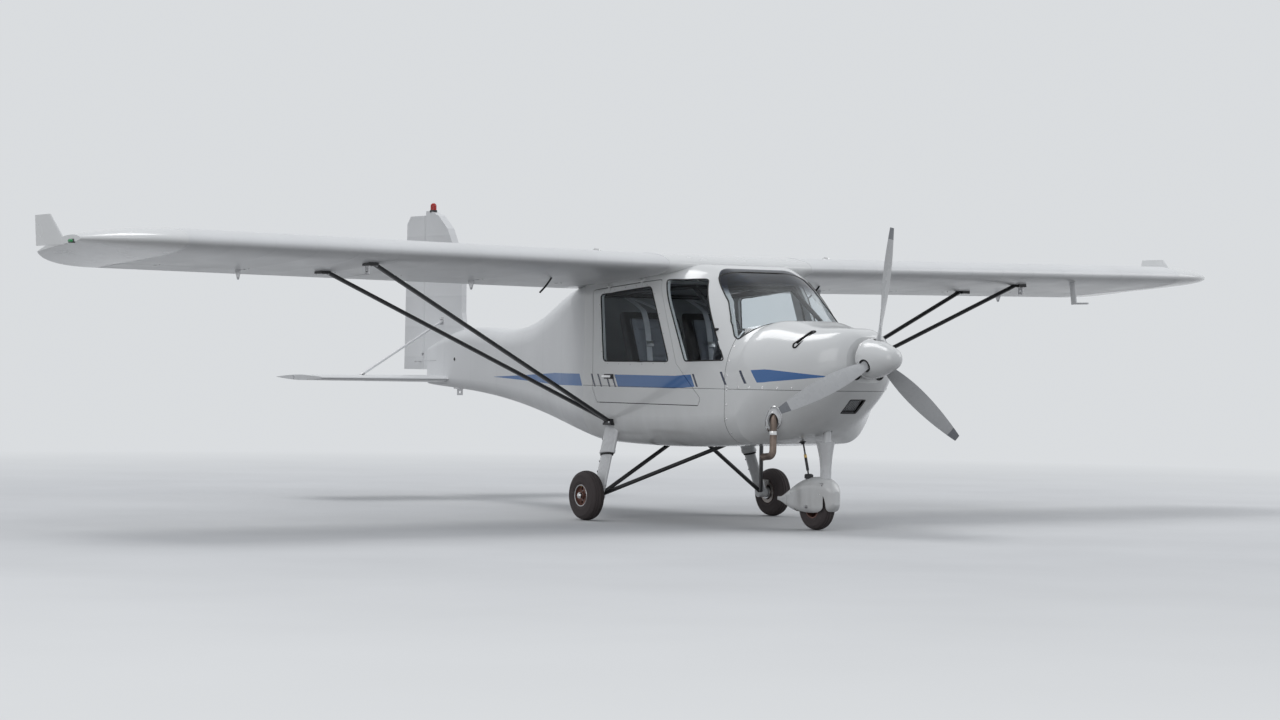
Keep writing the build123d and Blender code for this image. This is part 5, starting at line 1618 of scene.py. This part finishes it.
class AIRCRAFT_OT_seats(Operator):
    """Models the padded seats in place of the plain ones"""

    bl_idname = "aircraft.seats"
    bl_label = "Upholster the seats"

    def execute(self, context):
        for side, word in SIDES:
            low, high = sorted((side * (SEAT_CENTRE - 0.228), side * (SEAT_CENTRE + 0.228)))
            shell = outline_plate(SHELL_OUTLINE, low, high, 0.012)
            settle(shell, f"seat_shell_{word}", "black_plastic")
            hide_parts("seats")
        for which, (place, size, turn, channels) in CUSHIONS.items():
            pad = cushion_form(size)
            inflate(pad)
            sew_channels(pad, size, channels)
            modify(pad, "SUBSURF", levels=1, render_levels=1)
            edging = welt(size, size[2] * 0.30)
            for piece, name, finish in ((pad, "cushion", "seat_cloth"), (edging, "welt", "black_rubber")):
                piece.location = place
                piece.rotation_euler = (turn, 0, 0)
                settle(piece, f"seat_{which}_{name}_left", finish, angle=60)
                other = settle(mirror_copy(piece), f"seat_{which}_{name}_right", finish, angle=60)
        return {"FINISHED"}


# Harness: (distance from the seat's middle, station, height) along each strap
SHOULDER_STRAP = (
    (0.020, 2.640, 1.535), (0.040, 2.520, 1.500), (0.062, 2.405, 1.462), (0.078, 2.338, 1.428),
    (0.096, 2.270, 1.320), (0.118, 2.210, 1.160), (0.140, 2.155, 1.010), (0.150, 2.105, 0.930),
)
LAP_STRAP = (
    (0.226, 2.140, 0.800), (0.221, 2.120, 0.880), (0.190, 2.070, 0.925), (0.120, 2.030, 0.918),
    (0.036, 2.010, 0.912),
)


class AIRCRAFT_OT_harness(Operator):
    """Adds the pale harness straps, their buckles and adjusters"""

    bl_idname = "aircraft.harness"
    bl_label = "Fit the harnesses"

    def execute(self, context):
        width = sizes().strap_width
        for side, word in SIDES:
            centre = side * SEAT_CENTRE
            straps, metal = [], []
            for half in (-1, 1):
                for line, across in ((SHOULDER_STRAP, (1, 0, 0)), (LAP_STRAP, (0, 0.8, 0.5))):
                    points = [at(centre + half * x, station, height) for x, station, height in line]
                    straps.append(strap(points, width, across))
                place = at(centre + half * 0.112, 2.216, 1.215)
                metal.append(block(place, (0.058, 0.010, 0.040), 0.003, (radians(-21), 0, 0)))
            settle(straps, f"harness_straps_{word}", "strap_webbing")
            settle(metal, f"harness_adjusters_{word}", "plated_steel")
            buckle = block(at(centre, 2.010, 0.920), (0.066, 0.056, 0.016), 0.005)
            settle(buckle, f"harness_buckle_{word}", "bright_steel")
            button = drum(at(centre, 2.010, 0.930), 0.013, 0.006, round_by=0.0015)
            settle(button, f"harness_button_{word}", "red_handle")
        return {"FINISHED"}


# Instruments: radius, and the lateral place, height and needle's angle of each
GAUGES = {
    0.040: (
        (0.385, 1.222, 40), (0.285, 1.222, -30), (0.185, 1.222, 95),
        (0.385, 1.120, -75), (0.285, 1.120, 10), (0.185, 1.120, 60),
    ),
    0.0275: (
        (-0.135, 1.232, -50), (-0.205, 1.232, -20), (-0.275, 1.232, 30), (-0.345, 1.232, 70),
        (-0.135, 1.160, 15), (-0.205, 1.160, -80), (-0.275, 1.160, 45),
    ),
}
PANEL_FACE = 1.225
BEZEL = ((1, 0), (1.16, 0), (1.16, 0.004), (1.08, 0.0075), (1, 0.005), (1, 0))  # share of the radius, along

# Radio: lateral place of its middle, heights of its two boxes, and its knobs' places and outline
RADIO_MIDDLE = 0.020
RADIO_HEIGHTS = (1.232, 1.176)
KNOB_PLACES = (-0.046, 0.086)
KNOB = ((0, 0.018), (0.007, 0.018), (0.0085, 0.016), (0.009, 0.002), (0.011, 0))

# Switches, plungers and compass
SWITCHES_ON = (0, 1, 4, 6)
SWITCH_LEVER = ((0, 0.012), (0.0026, 0.011), (0.0030, 0.007), (0.0016, -0.010))
PLUNGERS = ((0.060, 0.060, 0.016), (-0.060, 0.060, 0.016), (0.0, 0.034, 0.011))  # place, reach, knob's radius
COMPASS = (
    (0, 0.024), (0.020, 0.022), (0.029, 0.012), (0.031, 0), (0.029, -0.012), (0.020, -0.024), (0, -0.026),
)


class AIRCRAFT_OT_panel_fittings(Operator):
    """Adds the instruments, radio, switches and engine controls to the panel"""

    bl_idname = "aircraft.panel_fittings"
    bl_label = "Fill the instrument panel"

    def execute(self, context):
        bezels, dials, marks, needles = [], [], [], []
        for radius, gauges in GAUGES.items():
            spots = [(at(x, PANEL_FACE + 0.0005, z), AFT) for x, z, _ in gauges]
            ring = turned([(radius * share, along) for share, along in BEZEL], (0, 0, 0), steps=32)
            bezels.append(copies(ring, spots))
            dials.append(copies(drum((0, 0, 0), radius * 1.01, 0.003, round_by=0), spots))
            marks.append(copies(self.dial_marks(radius), spots))
            for x, z, angle in gauges:
                turn = Euler((0, radians(angle), 0))
                tip = Vector((0, 0.0042, radius * 0.30))
                tip.rotate(turn)
                size = (radius * 0.06, 0.0008, radius * 0.95)
                needles.append(block(at(x, PANEL_FACE, z) + tip, size, 0, turn))
        settle(bezels, "instrument_bezels", "black_plastic")
        settle(dials, "instrument_dials", "dial_black")
        settle(marks, "instrument_marks", "gauge_white", angle=0)
        settle(needles, "instrument_needles", "gauge_white", angle=0)
        self.radio()
        self.switches()
        self.controls()
        edge = pipe([at(-0.545 + 0.109 * i, PANEL_FACE + 0.004, 1.310) for i in range(11)], 0.0095)
        settle(edge, "panel_edge_roll", "black_rubber")
        self.compass()
        return {"FINISHED"}

    def dial_marks(self, radius):
        """Eleven marks for a dial, every fifth one longer, placed by the first of them."""
        made = []
        for index in range(11):
            angle = radians(-135 + 27 * index)
            long = radius * (0.20 if index % 5 == 0 else 0.12)
            reach = radius * 0.92 - long / 2
            place = (reach * sin(angle), reach * cos(angle), 0.0029)
            made.append(block(place, (radius * 0.05, long, 0.0006), 0, (0, 0, -angle)))
        return join(made)

    def radio(self):
        """The radio and its transponder, each with a window, keys and two knobs."""
        boxes, windows, knobs, keys = [], [], [], []
        for height in RADIO_HEIGHTS:
            boxes.append(block(at(RADIO_MIDDLE, PANEL_FACE + 0.005, height), (0.158, 0.012, 0.048), 0.002))
            window = at(RADIO_MIDDLE, PANEL_FACE + 0.0115, height + 0.006)
            windows.append(block(window, (0.080, 0.002, 0.020), 0.0005))
            knobs += [turned(KNOB, at(x, PANEL_FACE + 0.011, height), AFT, 20) for x in KNOB_PLACES]
            for index in range(5):
                key = at(-0.012 + 0.016 * index, PANEL_FACE + 0.012, height - 0.015)
                keys.append(block(key, (0.010, 0.003, 0.005), 0.0008))
        settle(boxes, "radio_boxes", "black_plastic")
        settle(windows, "radio_windows", "dial_black")
        settle(knobs, "radio_knobs", "black_rubber")
        settle(keys, "radio_keys", "grey_lining")

    def switches(self):
        """A row of toggle switches with their nuts."""
        spots = [(at(0.140 - 0.026 * index, PANEL_FACE, 1.095), AFT) for index in range(8)]
        add_bolts(spots, 0.0065, 0.006, 0.0008, "switch_nuts")
        toggles = []
        for index, (place, _) in enumerate(spots):
            lean = 0.35 if index in SWITCHES_ON else -0.35
            toggles.append((place + Vector((0, 0.010, 0.008 * lean)), (0, 1, lean)))
        lever = turned(SWITCH_LEVER, (0, 0, 0), steps=16)
        settle(copies(lever, toggles), "switch_levers", "bright_steel")

    def controls(self):
        """Throttles and choke: plungers with round knobs."""
        rods, knobs = [], []
        for x, reach, radius in PLUNGERS:
            foot = at(x, PANEL_FACE, 1.048)
            rods.append(drum(foot + Vector((0, reach / 2, 0)), 0.0045, reach, AFT, 0.0008, 16))
            rods.append(drum(foot + Vector((0, 0.004, 0)), 0.010, 0.010, AFT, 0.001, 24))
            knob = [(0, 0.016), (radius * 0.7, 0.014), (radius, 0.006), (radius * 0.9, -0.006), (0.005, -0.010)]
            knobs.append(turned(knob, foot + Vector((0, reach + 0.006, 0)), AFT, 28))
        settle(rods, "control_plungers", "plated_steel")
        settle(knobs.pop(), "choke_knob", "red_handle")
        settle(knobs, "throttle_knobs", "black_plastic")

    def compass(self):
        """The compass on the coaming."""
        place = at(0, 1.150, 1.345)
        case = turned(COMPASS, place, AFT, 32)
        foot = block(place - Vector((0, 0, 0.030)), (0.034, 0.030, 0.014), 0.003)
        settle([case, foot], "compass_case", "black_plastic")
        window = block(place + Vector((0, 0.0225, 0.002)), (0.026, 0.006, 0.016), 0.002)
        settle(window, "compass_window", "gauge_white")


# Stick: its boot's outline, and the way that it leans
STICK_BOOT = (
    (0.0425, -0.020), (0.0465, -0.018), (0.047, -0.012), (0.036, 0.000), (0.041, 0.008), (0.029, 0.018),
    (0.034, 0.025), (0.022, 0.036), (0.025, 0.042), (0.015, 0.052), (0.0118, 0.058),
)
STICK_LEAN = (0, 0.1, 1)


class AIRCRAFT_OT_cabin_fittings(Operator):
    """Adds the pedals, the stick's boot and button, the rear lining and the seat rails"""

    bl_idname = "aircraft.cabin_fittings"
    bl_label = "Fit out the cabin"

    def execute(self, context):
        self.pedals()
        settle(turned(STICK_BOOT, at(0, 1.6425, 0.632), STICK_LEAN), "stick_boot", "black_rubber")
        button = drum(at(0, 1.681, 1.0235), 0.006, 0.006, STICK_LEAN, 0.0012, 20)
        settle(button, "stick_button", "red_handle")
        self.lining()
        rails = []
        for x in self.beside_seats(0.17):
            rails.append(block(at(x, 1.72, 0.6165), (0.022, 0.34, 0.013), 0.002))
        settle(rails, "seat_rails", "bare_alloy")
        return {"FINISHED"}

    def beside_seats(self, offset):
        """Lateral places on both sides of each seat's middle."""
        return [side * SEAT_CENTRE + across for side in (1, -1) for across in (-offset, offset)]

    def pedals(self):
        """Two rudder pedals before each seat, on a cross tube."""
        plates, tubes = [], []
        for x in self.beside_seats(0.085):
            plates.append(block(at(x, 1.228, 0.735), (0.072, 0.010, 0.100), 0.004, (radians(-28), 0, 0)))
            tubes.append(pipe([at(x, 1.235, 0.628), at(x, 1.232, 0.66), at(x, 1.236, 0.72)], 0.0075))
        for side in (1, -1):
            tubes.append(drum(at(side * SEAT_CENTRE, 1.235, 0.632), 0.0095, 0.29, (1, 0, 0), 0.002, 24))
        settle(plates, "pedal_plates", "bare_alloy")
        settle(tubes, "pedal_tubes", "black_tube_paint")

    def lining(self):
        """A lining panel across the rear of the cabin, cut to the body's inner outline."""
        skin = skin_of("cabin_shell", "rear_fuselage")
        centre = at(0, 2.686, 1.10)
        outwards = [Vector((across, 0, up)) for across, up in round_steps(64)]
        panel = flat_outline([look(skin, centre, outward)[0] - outward * 0.004 for outward in outwards])
        bpy.ops.mesh.inset(thickness=0.030, depth=0.0)
        bpy.ops.mesh.inset(thickness=0.004, depth=0.003)
        face_out()
        modify(panel, "SOLIDIFY", thickness=0.003, offset=0)
        settle(panel, "rear_lining", "grey_lining")


class AIRCRAFT_PT_panel(Panel):
    """Shows the aircraft's sizes and colours, and a button for each group of pieces"""

    bl_label = "Microlight aircraft"
    bl_idname = "AIRCRAFT_PT_panel"
    bl_space_type = "VIEW_3D"
    bl_region_type = "UI"
    bl_category = "Aircraft"

    def draw(self, context):
        for group in (context.scene.aircraft_sizes, context.scene.aircraft_colours):
            for name in group.__annotations__:
                self.layout.prop(group, name)
        for operator in OPERATORS:
            self.layout.operator(operator.bl_idname)


OPERATORS = (
    AIRCRAFT_OT_stage,
    AIRCRAFT_OT_paint,
    AIRCRAFT_OT_windows,
    AIRCRAFT_OT_tyres,
    AIRCRAFT_OT_hubs,
    AIRCRAFT_OT_legs,
    AIRCRAFT_OT_propeller,
    AIRCRAFT_OT_cowling,
    AIRCRAFT_OT_doors,
    AIRCRAFT_OT_wing,
    AIRCRAFT_OT_tail,
    AIRCRAFT_OT_seats,
    AIRCRAFT_OT_harness,
    AIRCRAFT_OT_panel_fittings,
    AIRCRAFT_OT_cabin_fittings,
)


def register():
    for kind in (AircraftSizes, AircraftColours, *OPERATORS, AIRCRAFT_PT_panel):
        bpy.utils.register_class(kind)
    bpy.types.Scene.aircraft_sizes = PointerProperty(type=AircraftSizes)
    bpy.types.Scene.aircraft_colours = PointerProperty(type=AircraftColours)


def unregister():
    del bpy.types.Scene.aircraft_colours
    del bpy.types.Scene.aircraft_sizes
    for kind in (AIRCRAFT_PT_panel, *reversed(OPERATORS), AircraftColours, AircraftSizes):
        bpy.utils.unregister_class(kind)


def main():
    """Builds the whole aircraft's detail."""
    register()
    for operator in OPERATORS:
        group, name = operator.bl_idname.split(".")
        getattr(getattr(bpy.ops, group), name)()


if __name__ == "__main__":
    main()
